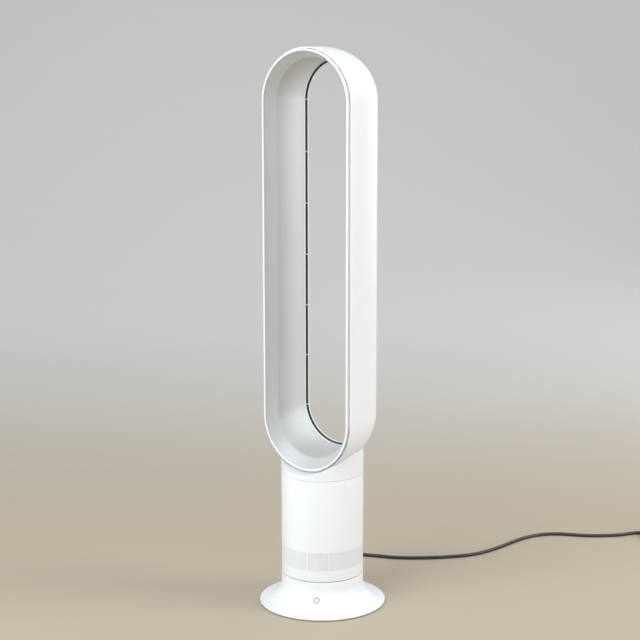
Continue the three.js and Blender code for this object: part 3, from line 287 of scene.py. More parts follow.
def makeWearGroup():
    # edges found from how far a softened normal leans away, broken up by noise
    group, given, out = newGroup("edgeWear", [
        ("Reach", "NodeSocketFloat", 0.0006),
        ("Amount", "NodeSocketFloat", 0.5),
    ], ["Mask"])
    soft = addNode(group, "ShaderNodeBevel", {"samples": 4})
    face = addNode(group, "ShaderNodeNewGeometry")
    lean = addNode(group, "ShaderNodeVectorMath", {"operation": "DOT_PRODUCT"})
    join(group, given["Reach"], soft.inputs["Radius"])
    join(group, soft.outputs["Normal"], lean.inputs[0])
    join(group, face.outputs["Normal"], lean.inputs[1])
    edge = addRamp(group, lean.outputs["Value"], {"From Min": 0.985, "From Max": 0.80})
    patch = addNoise(group, {"Scale": 260.0, "Detail": 5.0, "Roughness": 0.7})
    broken = addRamp(group, patch, {"From Min": 0.4, "From Max": 0.65})
    join(group, maskProduct(group, edge, broken, given["Amount"]), out["Mask"])
    return group


def makeMarksGroup():
    # fine lines that run round or along a turned or drawn piece
    group, given, out = newGroup("drawnMarks", [
        ("Stretch", "NodeSocketVector", (1.0, 1.0, 1.0)),
        ("Line Scale", "NodeSocketFloat", 300.0),
    ], ["Height"])
    place = addNode(group, "ShaderNodeTexCoord")
    pull = addNode(group, "ShaderNodeVectorMath", {"operation": "MULTIPLY"})
    lines = addNode(group, "ShaderNodeTexNoise", None, {"Detail": 4.0, "Roughness": 0.75})
    join(group, place.outputs["Object"], pull.inputs[0])
    join(group, given["Stretch"], pull.inputs[1])
    join(group, pull.outputs["Vector"], lines.inputs["Vector"])
    join(group, given["Line Scale"], lines.inputs["Scale"])
    join(group, lines.outputs["Fac"], out["Height"])
    return group


grainGroup = makeGrainGroup()
dustGroup = makeDustGroup()
wearGroup = makeWearGroup()
marksGroup = makeMarksGroup()
print("shader groups ready")


def placeGroup(tree, group, values):
    return addNode(tree, "ShaderNodeGroup", {"node_tree": group}, values).outputs


def placeGrain(tree, values):
    return placeGroup(tree, grainGroup, {
        "Grain Scale": values["grainScale"], "Tone Scale": values["toneScale"]})


def addDust(tree, colour, values):
    dust = placeGroup(tree, dustGroup, {"Amount": values["dust"], "Patch Scale": values["dustScale"]})
    return mixColour(tree, dust["Mask"], colour, values["dustColour"])


def addWear(tree, colour, values):
    wear = placeGroup(tree, wearGroup, {"Reach": values["wearReach"] * mm, "Amount": values["wear"]})
    return mixColour(tree, wear["Mask"], colour, values["wearColour"])


def spreadValue(tree, source, bounds):
    return addRamp(tree, source, {"To Min": bounds[0], "To Max": bounds[1]})


def finishSurface(tree, values, colour, tone, height):
    # colour, a roughness that follows the tone, and a bump
    shader = shaderInputs(tree)
    join(tree, colour, shader["Base Color"])
    join(tree, spreadValue(tree, tone, values["roughness"]), shader["Roughness"])
    bump = addNode(tree, "ShaderNodeBump", None, {
        "Strength": values["bump"], "Distance": values["bumpDepth"] * mm})
    join(tree, height, bump.inputs["Height"])
    join(tree, bump.outputs["Normal"], shader["Normal"])


def plasticMaterial(name, values):
    material, tree = startMaterial(name, values.get("sockets", {}))
    grain = placeGrain(tree, values)
    colour = mixColour(tree, grain["Tone"], values["colour"], values["toneColour"])
    colour = addDust(tree, addWear(tree, colour, values), values)
    finishSurface(tree, values, colour, grain["Tone"], grain["Height"])
    return material


def plasticValues(colour, toneColour, roughness, **changes):
    values = {
        "colour": colour, "toneColour": toneColour, "roughness": roughness,
        "grainScale": 900.0, "toneScale": 9.0, "bump": 0.12, "bumpDepth": 0.05,
        "dust": 0.08, "dustScale": 40.0, "dustColour": (0.46, 0.43, 0.39),
        "wear": 0.25, "wearReach": 0.5, "wearColour": tuple(min(1.0, 1.15 * c + 0.04) for c in colour),
    }
    values.update(changes)
    return values


plastics = {
    "shell_white": plasticValues(
        (0.835, 0.852, 0.868), (0.82, 0.835, 0.85), (0.29, 0.35),
        grainScale=1500.0, toneScale=5.0, bump=0.05, dust=0.05,
        sockets={"Specular IOR Level": 0.5, "Coat Weight": 0.12, "Coat Roughness": 0.22}),
    "grille_grey": plasticValues(
        (0.79, 0.80, 0.82), (0.77, 0.78, 0.80), (0.38, 0.46), grainScale=1500.0),
    "grey_plastic": plasticValues(
        (0.33, 0.34, 0.355), (0.30, 0.31, 0.32), (0.42, 0.55), bump=0.2),
    "dark_plastic": plasticValues(
        (0.022, 0.022, 0.024), (0.03, 0.03, 0.031), (0.42, 0.56), bump=0.25, dust=0.14),
    "rubber_black": plasticValues(
        (0.018, 0.018, 0.019), (0.028, 0.027, 0.027), (0.62, 0.78),
        bump=0.35, dust=0.2, grainScale=700.0),
    "acetal": plasticValues(
        (0.76, 0.74, 0.68), (0.72, 0.70, 0.64), (0.30, 0.42), sockets={"Subsurface Weight": 0.08}),
}

lacquerValues = {
    "colour": (0.615, 0.628, 0.625), "flakeColour": (0.69, 0.703, 0.70), "flakeScale": 3200.0,
    "metallic": (0.26, 0.38), "roughness": (0.36, 0.42), "coat": 0.3, "coatRoughness": 0.12,
    "grainScale": 800.0, "toneScale": 6.0, "bump": 0.08, "bumpDepth": 0.04,
    "dust": 0.16, "dustScale": 50.0, "dustColour": (0.5, 0.47, 0.43),
}


def addCells(tree, settings, scale):
    # a cell pattern over the piece's own coordinates
    place = addNode(tree, "ShaderNodeTexCoord")
    cells = addNode(tree, "ShaderNodeTexVoronoi", settings, {"Scale": scale})
    join(tree, place.outputs["Object"], cells.inputs["Vector"])
    return cells.outputs


def lacquerMaterial(name, values):
    # satin silver lacquer, whose tiny flakes differ in tone and metal
    material, tree = startMaterial(name, {
        "Coat Weight": values["coat"], "Coat Roughness": values["coatRoughness"]})
    flakes = addCells(tree, None, values["flakeScale"])
    split = addNode(tree, "ShaderNodeSeparateColor")
    join(tree, flakes["Color"], split.inputs["Color"])
    grain = placeGrain(tree, values)
    colour = mixColour(tree, split.outputs["Red"], values["colour"], values["flakeColour"])
    finishSurface(tree, values, addDust(tree, colour, values), grain["Tone"], grain["Height"])
    metallic = spreadValue(tree, split.outputs["Green"], values["metallic"])
    join(tree, metallic, shaderInputs(tree)["Metallic"])
    return material


metalShared = {
    "grainScale": 900.0, "toneScale": 60.0, "wear": 0.35, "wearReach": 0.3,
    "bump": 0.3, "bumpDepth": 0.03,
}
metals = {
    "steel": {"colour": (0.56, 0.57, 0.58), "toneColour": (0.66, 0.66, 0.67),
              "wearColour": (0.8, 0.8, 0.8), "roughness": (0.22, 0.36),
              "stretch": (1.0, 1.0, 0.05), "lineScale": 900.0},
    "brass": {"colour": (0.60, 0.43, 0.17), "toneColour": (0.70, 0.52, 0.24),
              "wearColour": (0.85, 0.7, 0.4), "roughness": (0.2, 0.34),
              "stretch": (0.05, 0.05, 1.0), "lineScale": 1200.0},
    "copper_winding": {"colour": (0.50, 0.21, 0.10), "toneColour": (0.30, 0.11, 0.05),
                       "wearColour": (0.7, 0.36, 0.2), "roughness": (0.3, 0.5),
                       "stretch": (0.06, 0.06, 1.0), "lineScale": 1600.0},
}


def metalMaterial(name, values):
    material, tree = startMaterial(name, {"Metallic": 1.0})
    marks = placeGroup(tree, marksGroup, {
        "Stretch": values["stretch"], "Line Scale": values["lineScale"]})
    grain = placeGrain(tree, values)
    colour = mixColour(tree, marks["Height"], values["colour"], values["toneColour"])
    finishSurface(tree, values, addWear(tree, colour, values), grain["Tone"], marks["Height"])
    return material


boardValues = {
    "colour": (0.015, 0.12, 0.05), "trackColour": (0.03, 0.2, 0.08), "trackScale": 420.0,
    "trackEdge": (0.42, 0.47), "roughness": (0.3, 0.5), "coat": 0.3, "coatRoughness": 0.12,
    "grainScale": 700.0, "toneScale": 40.0, "bump": 0.4, "bumpDepth": 0.04,
}


def boardMaterial(name, values):
    # green lacquer over copper tracks: a coarse cell pattern stands for the tracks
    material, tree = startMaterial(name, {
        "Coat Weight": values["coat"], "Coat Roughness": values["coatRoughness"]})
    cells = addCells(tree, {"distance": "CHEBYCHEV", "feature": "F2"}, values["trackScale"])
    low, high = values["trackEdge"]
    track = addRamp(tree, cells["Distance"], {"From Min": low, "From Max": high})
    colour = mixColour(tree, track, values["colour"], values["trackColour"])
    finishSurface(tree, values, colour, placeGrain(tree, values)["Tone"], track)
    return material


foamValues = {
    "colour": (0.06, 0.06, 0.065), "poreShadeColour": (0.01, 0.01, 0.01), "poreScale": 700.0,
    "roughness": (0.85, 0.97), "sheen": 0.2, "specular": 0.2,
    "grainScale": 500.0, "toneScale": 30.0, "bump": 0.8, "bumpDepth": 0.5,
}


def foamMaterial(name, values):
    material, tree = startMaterial(name, {
        "Sheen Weight": values["sheen"], "Specular IOR Level": values["specular"]})
    pores = addCells(tree, None, values["poreScale"])["Distance"]
    # painted shade: the pits of the pores are coloured darker
    colour = mixColour(tree, pores, values["poreShadeColour"], values["colour"])
    finishSurface(tree, values, colour, placeGrain(tree, values)["Tone"], pores)
    return material


sheathValues = {
    "colour": (0.030, 0.028, 0.026), "toneColour": (0.042, 0.039, 0.036), "roughness": (0.34, 0.5),
    "specular": 0.45, "grainScale": 1100.0, "toneScale": 22.0, "bump": 0.2, "bumpDepth": 0.08,
    "dust": 0.18, "dustScale": 90.0, "dustColour": (0.34, 0.31, 0.27),
}


def sheathMaterial(name, values):
    # flexible sheath with a soft gloss, and floor dust on top
    material, tree = startMaterial(name, {"Specular IOR Level": values["specular"]})
    grain = placeGrain(tree, values)
    colour = mixColour(tree, grain["Tone"], values["colour"], values["toneColour"])
    finishSurface(tree, values, addDust(tree, colour, values), grain["Tone"], grain["Height"])
    return material


finishes = {name: plasticMaterial(name, values) for name, values in plastics.items()}
for name, values in metals.items():
    finishes[name] = metalMaterial(name, {**metalShared, **values})
finishes["silver_lacquer"] = lacquerMaterial("silver_lacquer", lacquerValues)
finishes["circuit_green"] = boardMaterial("circuit_green", boardValues)
finishes["foam"] = foamMaterial("foam", foamValues)
finishes["cord_sheath"] = sheathMaterial("cord_sheath", sheathValues)

for row in frame["record"]["subparts"]:
    node = frame["nodes"][row["node"]]
    node.data.materials.clear()
    node.data.materials.append(finishes[row["material_slot"]])

# the helpers and all that follows work in millimetres until a mesh is made


def rounded(corners, closed=True, steps=4):
    # corners are (a, b, radius); each is replaced by an arc of that radius
    points = []
    count = len(corners)
    for i, (a, b, radius) in enumerate(corners):
        here = Vector((a, b))
        if radius == 0 or (not closed and i in (0, count - 1)):
            points.append(here)
            continue
        before = Vector(corners[i - 1][:2]) - here
        after = Vector(corners[(i + 1) % count][:2]) - here
        half = before.angle(after) / 2
        reach = min(radius / math.tan(half), 0.49 * before.length, 0.49 * after.length)
        middle = (before.normalized() + after.normalized()).normalized()
        centre = here + middle * reach / math.cos(half)
        first = here + before.normalized() * reach - centre
        last = here + after.normalized() * reach - centre
        sweep = math.atan2(first.x * last.y - first.y * last.x, first.dot(last))
        for k in range(steps + 1):
            turn = Matrix.Rotation(sweep * k / steps, 2)
            points.append(centre + turn @ first)
    return [(p.x, p.y) for p in points]


def arcPoints(centre, radius, start, end, steps):
    points = []
    for i in range(steps + 1):
        angle = math.radians(start + (end - start) * i / steps)
        points.append((centre[0] + radius * math.cos(angle), centre[1] + radius * math.sin(angle)))
    return points


def gridMesh(rings, around=True, closed=True):
    # rings with equal numbers of points, joined one to the next with quads
    count = len(rings[0])
    verts = [tuple(point) for ring in rings for point in ring]
    faces = []
    for k in range(len(rings) if around else len(rings) - 1):
        here = k * count
        there = (k + 1) % len(rings) * count
        for i in range(count if closed else count - 1):
            j = (i + 1) % count
            faces.append((here + i, there + i, there + j, here + j))
    return verts, faces


def turned(profile, steps=192):
    # (radius, height) points spun about Z; the profile closes on itself or ends on the axis
    rings = []
    for k in range(steps):
        angle = 2 * math.pi * k / steps
        rings.append([(r * math.cos(angle), r * math.sin(angle), z) for r, z in profile])
    return gridMesh(rings, closed=profile[0][0] > 0 or profile[-1][0] > 0)


def loft(rings):
    # rings joined one to the next, with a cap on both ends
    verts, faces = gridMesh(rings, around=False)
    count = len(rings[0])
    faces.append(tuple(range(count)))
    faces.append(tuple(range(len(verts) - 1, len(verts) - count - 1, -1)))
    return verts, faces


def boxPart(low, high):
    verts = [(x, y, z) for x in (low[0], high[0]) for y in (low[1], high[1]) for z in (low[2], high[2])]
    faces = [(0, 1, 3, 2), (4, 6, 7, 5), (0, 4, 5, 1), (2, 3, 7, 6), (0, 2, 6, 4), (1, 5, 7, 3)]
    return verts, faces


def together(*parts):
    verts = []
    faces = []
    for partVerts, partFaces in parts:
        start = len(verts)
        verts.extend(partVerts)
        faces.extend(tuple(start + i for i in face) for face in partFaces)
    return verts, faces


def moved(part, matrix):
    verts, faces = part
    return [tuple(matrix @ Vector(v)) for v in verts], faces


def roundCopies(part, count):
    step = 2 * math.pi / count
    return together(*[moved(part, Matrix.Rotation(i * step, 4, "Z")) for i in range(count)])


def makeMesh(name, part):
    verts, faces = part
    mesh = bpy.data.meshes.new(name)
    mesh.from_pydata([tuple(c * mm for c in v) for v in verts], [], faces)
    work = bmesh.new()
    work.from_mesh(mesh)
    bmesh.ops.remove_doubles(work, verts=work.verts, dist=2e-7)
    bmesh.ops.recalc_face_normals(work, faces=work.faces)
    work.to_mesh(mesh)
    work.free()
    return mesh


def shadeEdges(mesh, angle):
    mesh.shade_smooth()
    mesh.set_sharp_from_angle(angle=math.radians(angle))


def makePiece(name, part, finish, body, replaced=(), smooth=32):
    mesh = makeMesh(name, part)
    shadeEdges(mesh, smooth)
    mesh.materials.append(finishes[finish])
    piece = addObject(name, mesh)
    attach(piece, body)
    if replaced:
        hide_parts(*replaced)
    return piece


def carve(piece, *parts, smooth=32):
    # cuts solids out of a piece and keeps the result as its mesh
    cutters = []
    for part in parts:
        cutter = addObject("cutter", makeMesh("cutter", part))
        tool = piece.modifiers.new("cut", "BOOLEAN")
        tool.operation = "DIFFERENCE"
        tool.solver = "EXACT"
        tool.object = cutter
        cutters.append(cutter)
    graph = bpy.context.evaluated_depsgraph_get()
    result = bpy.data.meshes.new_from_object(piece.evaluated_get(graph))
    piece.modifiers.clear()
    piece.data = result
    result.name = piece.name
    for cutter in cutters:
        bpy.data.objects.remove(cutter)
    shadeEdges(result, smooth)


def pointing(point, direction):
    # stands what is made along +Z on a point, turned to a direction
    turn = Vector((0, 0, 1)).rotation_difference(direction).to_matrix().to_4x4()
    return Matrix.Translation(point) @ turn


def rod(radius, bottom, top, steps=48):
    return turned([(0, bottom), (radius, bottom), (radius, top), (0, top)], steps)


baseValues = {
    "plateRadius": 115, "plateLift": 1.5, "plateEdge": 3, "edgeRound": 1.3, "edgeInset": 1.5,
    "flareRadius": 40, "flareArc": (-93, -180, 40), "underArc": (-180, -106, 20),    # from, to, steps
    "wall": 2.4, "top": 58.1, "topRound": 0.5, "topInnerRound": 0.3, "topLead": 4,
    "deck": 50.0, "deckThickness": 2.4, "spigot": 12, "spigotBore": 9, "spigotTop": 63.2,
    "floorHole": 103.8, "buttonHeight": 26.5, "buttonHole": 5.75, "buttonCut": (-12, 6),
    "cordHeight": 16, "cordHole": 5.5, "cordCut": (-14, 16), "steps": 256,
}

flareAxis = bodyRadius + baseValues["flareRadius"]
flareCentre = (flareAxis, baseValues["plateLift"] + baseValues["plateEdge"] + baseValues["flareRadius"])


def flareSurface(height):
    return flareAxis - math.sqrt(baseValues["flareRadius"] ** 2 - (flareCentre[1] - height) ** 2)


def buttonPlace():
    radius = flareSurface(baseValues["buttonHeight"])
    outward = Vector((0, radius - flareAxis, flareCentre[1] - baseValues["buttonHeight"])).normalized()
    return pointing(Vector((0, -radius, baseValues["buttonHeight"])), outward)


def cordPlace():
    height = baseValues["cordHeight"]
    return pointing(Vector((0, flareSurface(height), height)), Vector((0, 1, 0)))


def baseShell(values):
    plateTop = values["plateLift"] + values["plateEdge"]
    inner = bodyRadius - values["wall"]
    deckUnder = values["deck"] - values["deckThickness"]
    edge = rounded([
        (values["floorHole"], values["plateLift"], 0),
        (values["plateRadius"], values["plateLift"], values["edgeRound"]),
        (values["plateRadius"], plateTop, values["edgeRound"]),
        (flareAxis - values["edgeInset"], plateTop, 0),
    ], closed=False, steps=5)
    flare = arcPoints(flareCentre, values["flareRadius"], *values["flareArc"])
    top = rounded([
        (bodyRadius, flareCentre[1] + values["topLead"], 0),
        (bodyRadius, values["top"], values["topRound"]),
        (inner, values["top"], values["topInnerRound"]), (inner, values["deck"], 0),
    ], closed=False, steps=4)
    inside = [
        (values["spigot"], values["deck"]), (values["spigot"], values["spigotTop"]),
        (values["spigotBore"], values["spigotTop"]), (values["spigotBore"], deckUnder),
        (inner, deckUnder),
    ]
    under = arcPoints(flareCentre, values["flareRadius"] + values["wall"], *values["underArc"])
    part = turned(edge + flare + top + inside + under, values["steps"])
    piece = makePiece("base_shell", moved(part, turnBase), "shell_white", "base", ["base_housing"])
    carve(piece,
          moved(rod(values["buttonHole"], *values["buttonCut"]), turnBase @ buttonPlace()),
          moved(rod(values["cordHole"], *values["cordCut"]), turnBase @ cordPlace()))


# heights are counted from the flare's surface, along the button's own axis
keyValues = {
    "radius": 3.95, "proud": 0.15, "crownRound": 0.45,
    "dish": 0.25, "dishShare": 0.72, "dishRim": 0.02, "dishRound": 0.6,
    "stem": 1.5, "stemLow": -7.9, "stopLow": -5.4, "stopRadius": 4.7, "stopThickness": 0.9,
}
keyRingValues = {
    "outer": 5.5, "inner": 4.2, "top": 0.05, "round": 0.25, "low": -4.2,
    "flange": 7.1, "flangeTop": -3.1, "flangeRound": 0.2,
    "legIn": 5.3, "legThickness": 1.6, "legHalf": 2.5, "legLow": -10.9, "legTop": -4.1,
}


def powerKey(values):
    # a white cap with a shallow dish, on a stem with a stop below the collar
    stopTop = values["stopLow"] + values["stopThickness"]
    crown = rounded([
        (values["radius"], stopTop, 0), (values["radius"], values["proud"], values["crownRound"]),
        (values["radius"] * values["dishShare"], values["proud"] - values["dishRim"],
         values["dishRound"]),
        (0, values["proud"] - values["dish"], 0),
    ], closed=False, steps=6)
    stem = [
        (0, values["stemLow"]), (values["stem"], values["stemLow"]),
        (values["stem"], values["stopLow"]), (values["stopRadius"], values["stopLow"]),
        (values["stopRadius"], stopTop),
    ]
    part = moved(turned(stem + crown, 64), turnBase @ buttonPlace())
    makePiece("power_key", part, "shell_white", "button", ["power_button"], smooth=50)


def keyRing(values):
    # a light ring flush with the flare, on a flange with two legs down to the switch
    profile = rounded([
        (values["inner"], values["low"], 0), (values["flange"], values["low"], values["flangeRound"]),
        (values["flange"], values["flangeTop"], values["flangeRound"]),
        (values["outer"], values["flangeTop"], 0),
        (values["outer"], values["top"], values["round"]),
        (values["inner"], values["top"], values["round"]),
    ])
    legs = []
    for side in (-1, 1):
        low, high = sorted((side * values["legIn"], side * (values["legIn"] + values["legThickness"])))
        legs.append(boxPart((low, -values["legHalf"], values["legLow"]),
                            (high, values["legHalf"], values["legTop"])))
    part = moved(together(turned(profile, 72), *legs), turnBase @ buttonPlace())
    makePiece("key_ring", part, "grey_plastic", "base", ["button_surround"])


footValues = {
    "middle": 96, "width": 8, "height": 2, "topRound": 0.3, "treadRound": 0.5,
    "ribs": 3, "ribDepth": 0.35, "grooveMouth": 0.5, "grooveFloor": 0.2, "steps": 256,
}


def footRing(values):
    # non-slip ring with fine grooves round its underside
    inner = values["middle"] - values["width"] / 2
    outer = values["middle"] + values["width"] / 2
    pitch = values["width"] / values["ribs"]
    mouth, floor, deep = values["grooveMouth"], values["grooveFloor"], values["ribDepth"]
    corners = [(inner, values["height"], values["topRound"]), (inner, 0, values["treadRound"])]
    for i in range(1, values["ribs"]):
        middle = inner + i * pitch
        corners += [(middle - mouth, 0, 0), (middle - floor, deep, 0),
                    (middle + floor, deep, 0), (middle + mouth, 0, 0)]
    corners += [(outer, 0, values["treadRound"]), (outer, values["height"], values["topRound"])]
    part = turned(rounded(corners), values["steps"])
    makePiece("foot_tread", part, "rubber_black", "base", ["foot_ring"])


baseShell(baseValues)
powerKey(keyValues)
keyRing(keyRingValues)
footRing(footValues)
print("base made")

tubeValues = {
    "bottomIn": 0.3, "bottomOut": 0.5, "topOut": 0.35, "topIn": 0.2,     # roundings of the ends
    "steps": 288,
}

windowValues = {
    "count": 12, "rib": 3.2, "bottom": 79.3, "top": 113, "corner": 1.0, "cutFrom": 8, "cutTo": 6,
}

panelValues = {
    "gap": 0.08, "radius": 74.3, "thickness": 1.6,
    "columns": 17, "rows": 15, "hole": 0.40, "holeSides": 10,
    "hoop": 3.0, "hoopIn": 70.4, "hoopOut": 72.1, "hoopSteps": 144,
}


def windowSpan():
    # the angle that one window takes up between two ribs
    return 2 * math.pi / windowValues["count"] - windowValues["rib"] / bodyRadius


def windowCutters(values):
    half = bodyRadius * math.sin(windowSpan() / 2)
    corners = [(-half, values["bottom"]), (half, values["bottom"]),
               (half, values["top"]), (-half, values["top"])]
    outline = rounded([(*corner, values["corner"]) for corner in corners], steps=5)
    depths = (bodyRadius - values["cutFrom"], bodyRadius + values["cutTo"])
    cutter = loft([[(x, -depth, z) for x, z in outline] for depth in depths])
    return roundCopies(cutter, values["count"])


def bodyTube(values):
    inner = bodyRadius - baseValues["wall"]
    profile = rounded([
        (inner, shellBottom, values["bottomIn"]), (bodyRadius, shellBottom, values["bottomOut"]),
        (bodyRadius, shellTop, values["topOut"]), (inner, shellTop, values["topIn"]),
    ])
    part = turned(profile, values["steps"])
    piece = makePiece("body_tube", part, "shell_white", "head", ["body_shell"])
    carve(piece, windowCutters(windowValues))


def panelCell(x, z, width, height, radius, sides):
    # a rectangle with a round hole: its outline has a point half way up each side
    corners = [(x + width / 2, z), (x + width / 2, z + height / 2), (x - width / 2, z + height / 2),
               (x - width / 2, z), (x - width / 2, z - height / 2), (x + width / 2, z - height / 2)]
    hole = []
    for i in range(sides):
        angle = 2 * math.pi * i / sides
        hole.append((x + radius * math.cos(angle), z + radius * math.sin(angle)))
    return corners, hole


def perforatedPanel(values):
    # one panel as flat (along, height) faces: staggered columns of cells with a hole in each
    wide = windowSpan() * values["radius"] - 2 * values["gap"]
    tall = windowValues["top"] - windowValues["bottom"] - 2 * values["gap"]
    low = windowValues["bottom"] + values["gap"]
    width = wide / values["columns"]
    height = tall / values["rows"]
    sides = values["holeSides"]
    verts = []
    faces = []
    for column in range(values["columns"]):
        x = -wide / 2 + (column + 0.5) * width
        lifted = column % 2 == 1
        for row in range(values["rows"] - 1 if lifted else values["rows"]):
            z = low + (row + (1.0 if lifted else 0.5)) * height
            corners, hole = panelCell(x, z, width, height, values["hole"], sides)
            start = len(verts)
            verts.extend(corners + hole)
            for i in range(sides):
                a, b = (start + int(6 * k / sides + 0.5) % 6 for k in (i, i + 1))
                c, d = start + 6 + (i + 1) % sides, start + 6 + i
                faces.append((a, b, c, d) if a != b else (a, c, d))
        if lifted:
            # half cells without a hole fill both ends of the column
            for bottom in (low, low + tall - height / 2):
                start = len(verts)
                top = bottom + height / 2
                verts.extend([(x - width / 2, bottom), (x + width / 2, bottom),
                              (x + width / 2, top), (x - width / 2, top)])
                faces.append((start, start + 1, start + 2, start + 3))
    return verts, faces


def inletPanels(values):
    # the flat panel gets its thickness, is bent round the body and copied, with a hoop above and below
    flat, faces = perforatedPanel(values)
    work = bmesh.new()
    points = [work.verts.new((x, 0, z)) for x, z in flat]
    for face in faces:
        work.faces.new([points[i] for i in face])
    bmesh.ops.remove_doubles(work, verts=work.verts, dist=0.01)
    grown = bmesh.ops.extrude_face_region(work, geom=work.faces[:] + work.edges[:])
    for item in grown["geom"]:
        if isinstance(item, bmesh.types.BMVert):
            item.co.y = values["thickness"]
    work.verts.ensure_lookup_table()
    work.verts.index_update()
    bent = []
    for x, depth, z in (v.co for v in work.verts):
        angle = x / values["radius"] - math.pi / 2
        reach = values["radius"] - depth
        bent.append((reach * math.cos(angle), reach * math.sin(angle), z))
    panel = (bent, [tuple(v.index for v in f.verts) for f in work.faces])
    work.free()
    hoops = []
    for bottom in (windowValues["bottom"] - values["hoop"], windowValues["top"]):
        top = bottom + values["hoop"]
        hoops.append(turned([(values["hoopIn"], bottom), (values["hoopOut"], bottom),
                             (values["hoopOut"], top), (values["hoopIn"], top)], values["hoopSteps"]))
    part = together(roundCopies(panel, windowValues["count"]), *hoops)
    makePiece("inlet_panels", part, "grille_grey", "head", ["inlet_grille"])


bodyTube(tubeValues)
inletPanels(panelValues)
print("body and inlet panels made")

# depths run from the front, below zero, to the back, and radii from the middle line of the oval
loopValues = {
    "archTop": 912, "archBottom": 350, "arcSteps": 64, "straightSteps": 24,
    "radius": 95, "wall": 2.2, "front": -47.1, "full": -11, "back": 56.9, "backDraw": 20.4,
    "backSweep": 88, "tangentShare": 0.985, "tangentSlope": 0.3,
    "frontRound": 0.7, "frontRoundIn": 0.4, "backSteps": 26, "backStepsIn": 12,
    "lipRadius": 70.6, "lipThickness": 0.9, "lipFront": 54.2, "lipRound": 0.35,
    "turnLead": (0.2, 2.4), "turnRise": 1.2, "turnDepth": 0.9, "turnRound": 0.8,   # back edge to lip
    "slotLift": 8.7, "ductFrom": 30,
    "rimFront": -53.4, "rimDepth": 2.2, "rimRadius": 92, "rimInner": 88.7,
    "creaseRadius": 76.7, "crease": -29, "creaseRound": 9, "creaseLift": 3.7,
    "linerEdge": 52.0, "linerEnd": 54.8, "linerWall": 1.8, "linerRows": 14, "highlightBand": 3.6,
    "slotRadius": 74.5, "throatDepth": 1.5, "throatWall": 1.2, "throatRound": 0.3, "throatRamp": 0.4,
    "edgeRound": 0.9, "flangeGap": 0.3, "flangeInset": 0.4, "flangeDepth": 2, "wallMiddle": 10,
    "spacers": 7, "spacerPitch": 93.7, "spacerSize": 1.8,
}


def ovalRings(section, lift, values):
    # a (depth, radius) section carried round the oval; lift raises the lower half circle
    top = [(r, y, values["archTop"]) for y, r in section]
    bottom = [(r, y, values["archBottom"] + lift(y)) for y, r in section]

    def arc(points, start):
        # half a turn of each point about its own middle height
        steps = values["arcSteps"]
        angles = [start + math.pi * k / steps for k in range(steps + 1)]
        return [[(r * math.cos(a), y, z + r * math.sin(a)) for r, y, z in points] for a in angles]

    def straight(side):
        rings = []
        for k in range(1, values["straightSteps"]):
            share = k / values["straightSteps"]
            down = share if side == -1 else 1 - share
            rings.append([(side * r, y, high * (1 - down) + low * down)
                          for (r, y, high), (_, _, low) in zip(top, bottom)])
        return rings

    return gridMesh(arc(top, 0) + straight(-1) + arc(bottom, math.pi) + straight(1))


def innerLift(y):
    values = loopValues
    if y < values["crease"]:
        share = (y - values["rimFront"]) / (values["crease"] - values["rimFront"])
        return values["creaseLift"] * max(0.0, share)
    share = (y - values["crease"]) / (values["lipFront"] - values["crease"])
    return values["creaseLift"] + (values["slotLift"] - values["creaseLift"]) * min(1.0, share)


def outerLift(y):
    values = loopValues
    share = (y - values["full"]) / (values["lipFront"] - values["full"])
    return values["slotLift"] * min(1.0, max(0.0, share)) ** 2


def noLift(y):
    return 0.0


def envelopeRadius(y):
    # outside radius of the loop at a depth, carried on straight behind it
    values = loopValues
    if y <= values["full"]:
        return values["radius"]
    reach = values["back"] - values["full"]
    share = (y - values["full"]) / reach
    bent = min(share, values["tangentShare"])
    radius = values["radius"] - values["backDraw"] * (1 - math.sqrt(1 - bent ** 2))
    if share < values["tangentShare"]:
        return radius
    return radius + (y - values["full"] - values["tangentShare"] * reach) * values["tangentSlope"]


def ovalPlace(point, lift):
    # depth and radius, in millimetres, of a point given in metres
    x, depth, z = point / mm
    bottom = loopValues["archBottom"] + lift(depth)
    beyond = max(z - loopValues["archTop"], bottom - z, 0.0)
    return depth, math.hypot(x, beyond)


def backCurve(offset, steps, values):
    # the airfoil's back at an offset inside its outline
    reach = values["back"] - values["full"] - offset
    depth = values["backDraw"] - offset
    points = []
    for i in range(1, steps):
        angle = math.radians(values["backSweep"] * i / steps)
        points.append((values["full"] + reach * math.sin(angle),
                       values["radius"] - offset - depth * (1 - math.cos(angle))))
    return points


def loopShell(values):
    outer, inner = values["radius"], values["radius"] - values["wall"]
    back, lip = values["back"], values["lipRadius"]
    lipOut = lip + values["lipThickness"]
    front = rounded([
        (values["full"], inner, 0), (values["front"], inner, values["frontRoundIn"]),
        (values["front"], outer, values["frontRound"]), (values["full"], outer, 0),
    ], closed=False)
    lead, rise = values["turnLead"]
    edge = rounded([
        (back - lead, lip + rise, 0), (back, lip + values["turnRise"], values["turnRound"]),
        (back - values["turnDepth"], lip, values["turnRound"]),
        (values["lipFront"], lip, values["lipRound"]), (values["lipFront"], lipOut, values["lipRound"]),
        (back - values["wall"], lipOut, 0),
    ], closed=False)
    inside = backCurve(values["wall"], values["backStepsIn"], values)[::-1]
    section = front + backCurve(0, values["backSteps"], values) + edge + inside
    piece = makePiece("loop_shell", ovalRings(section, outerLift, values), "shell_white", "head",
                      ["loop_outer_shell"], smooth=38)
    # painted shade: the dark plastic finish goes on the air duct behind the slot to stand for the shade
    # there
    piece.data.materials.append(finishes["dark_plastic"])
    for face in piece.data.polygons:
        depth, radius = ovalPlace(face.center, outerLift)
        if depth > values["ductFrom"] and lipOut - 0.05 < radius < envelopeRadius(depth) - 1:
            face.material_index = 1


def linerRadius(y, values):
    share = (values["linerEdge"] - y) / (values["linerEdge"] - values["crease"])
    growth = values["creaseRadius"] - values["slotRadius"]
    return values["slotRadius"] + growth * math.sin(share * math.pi / 2)


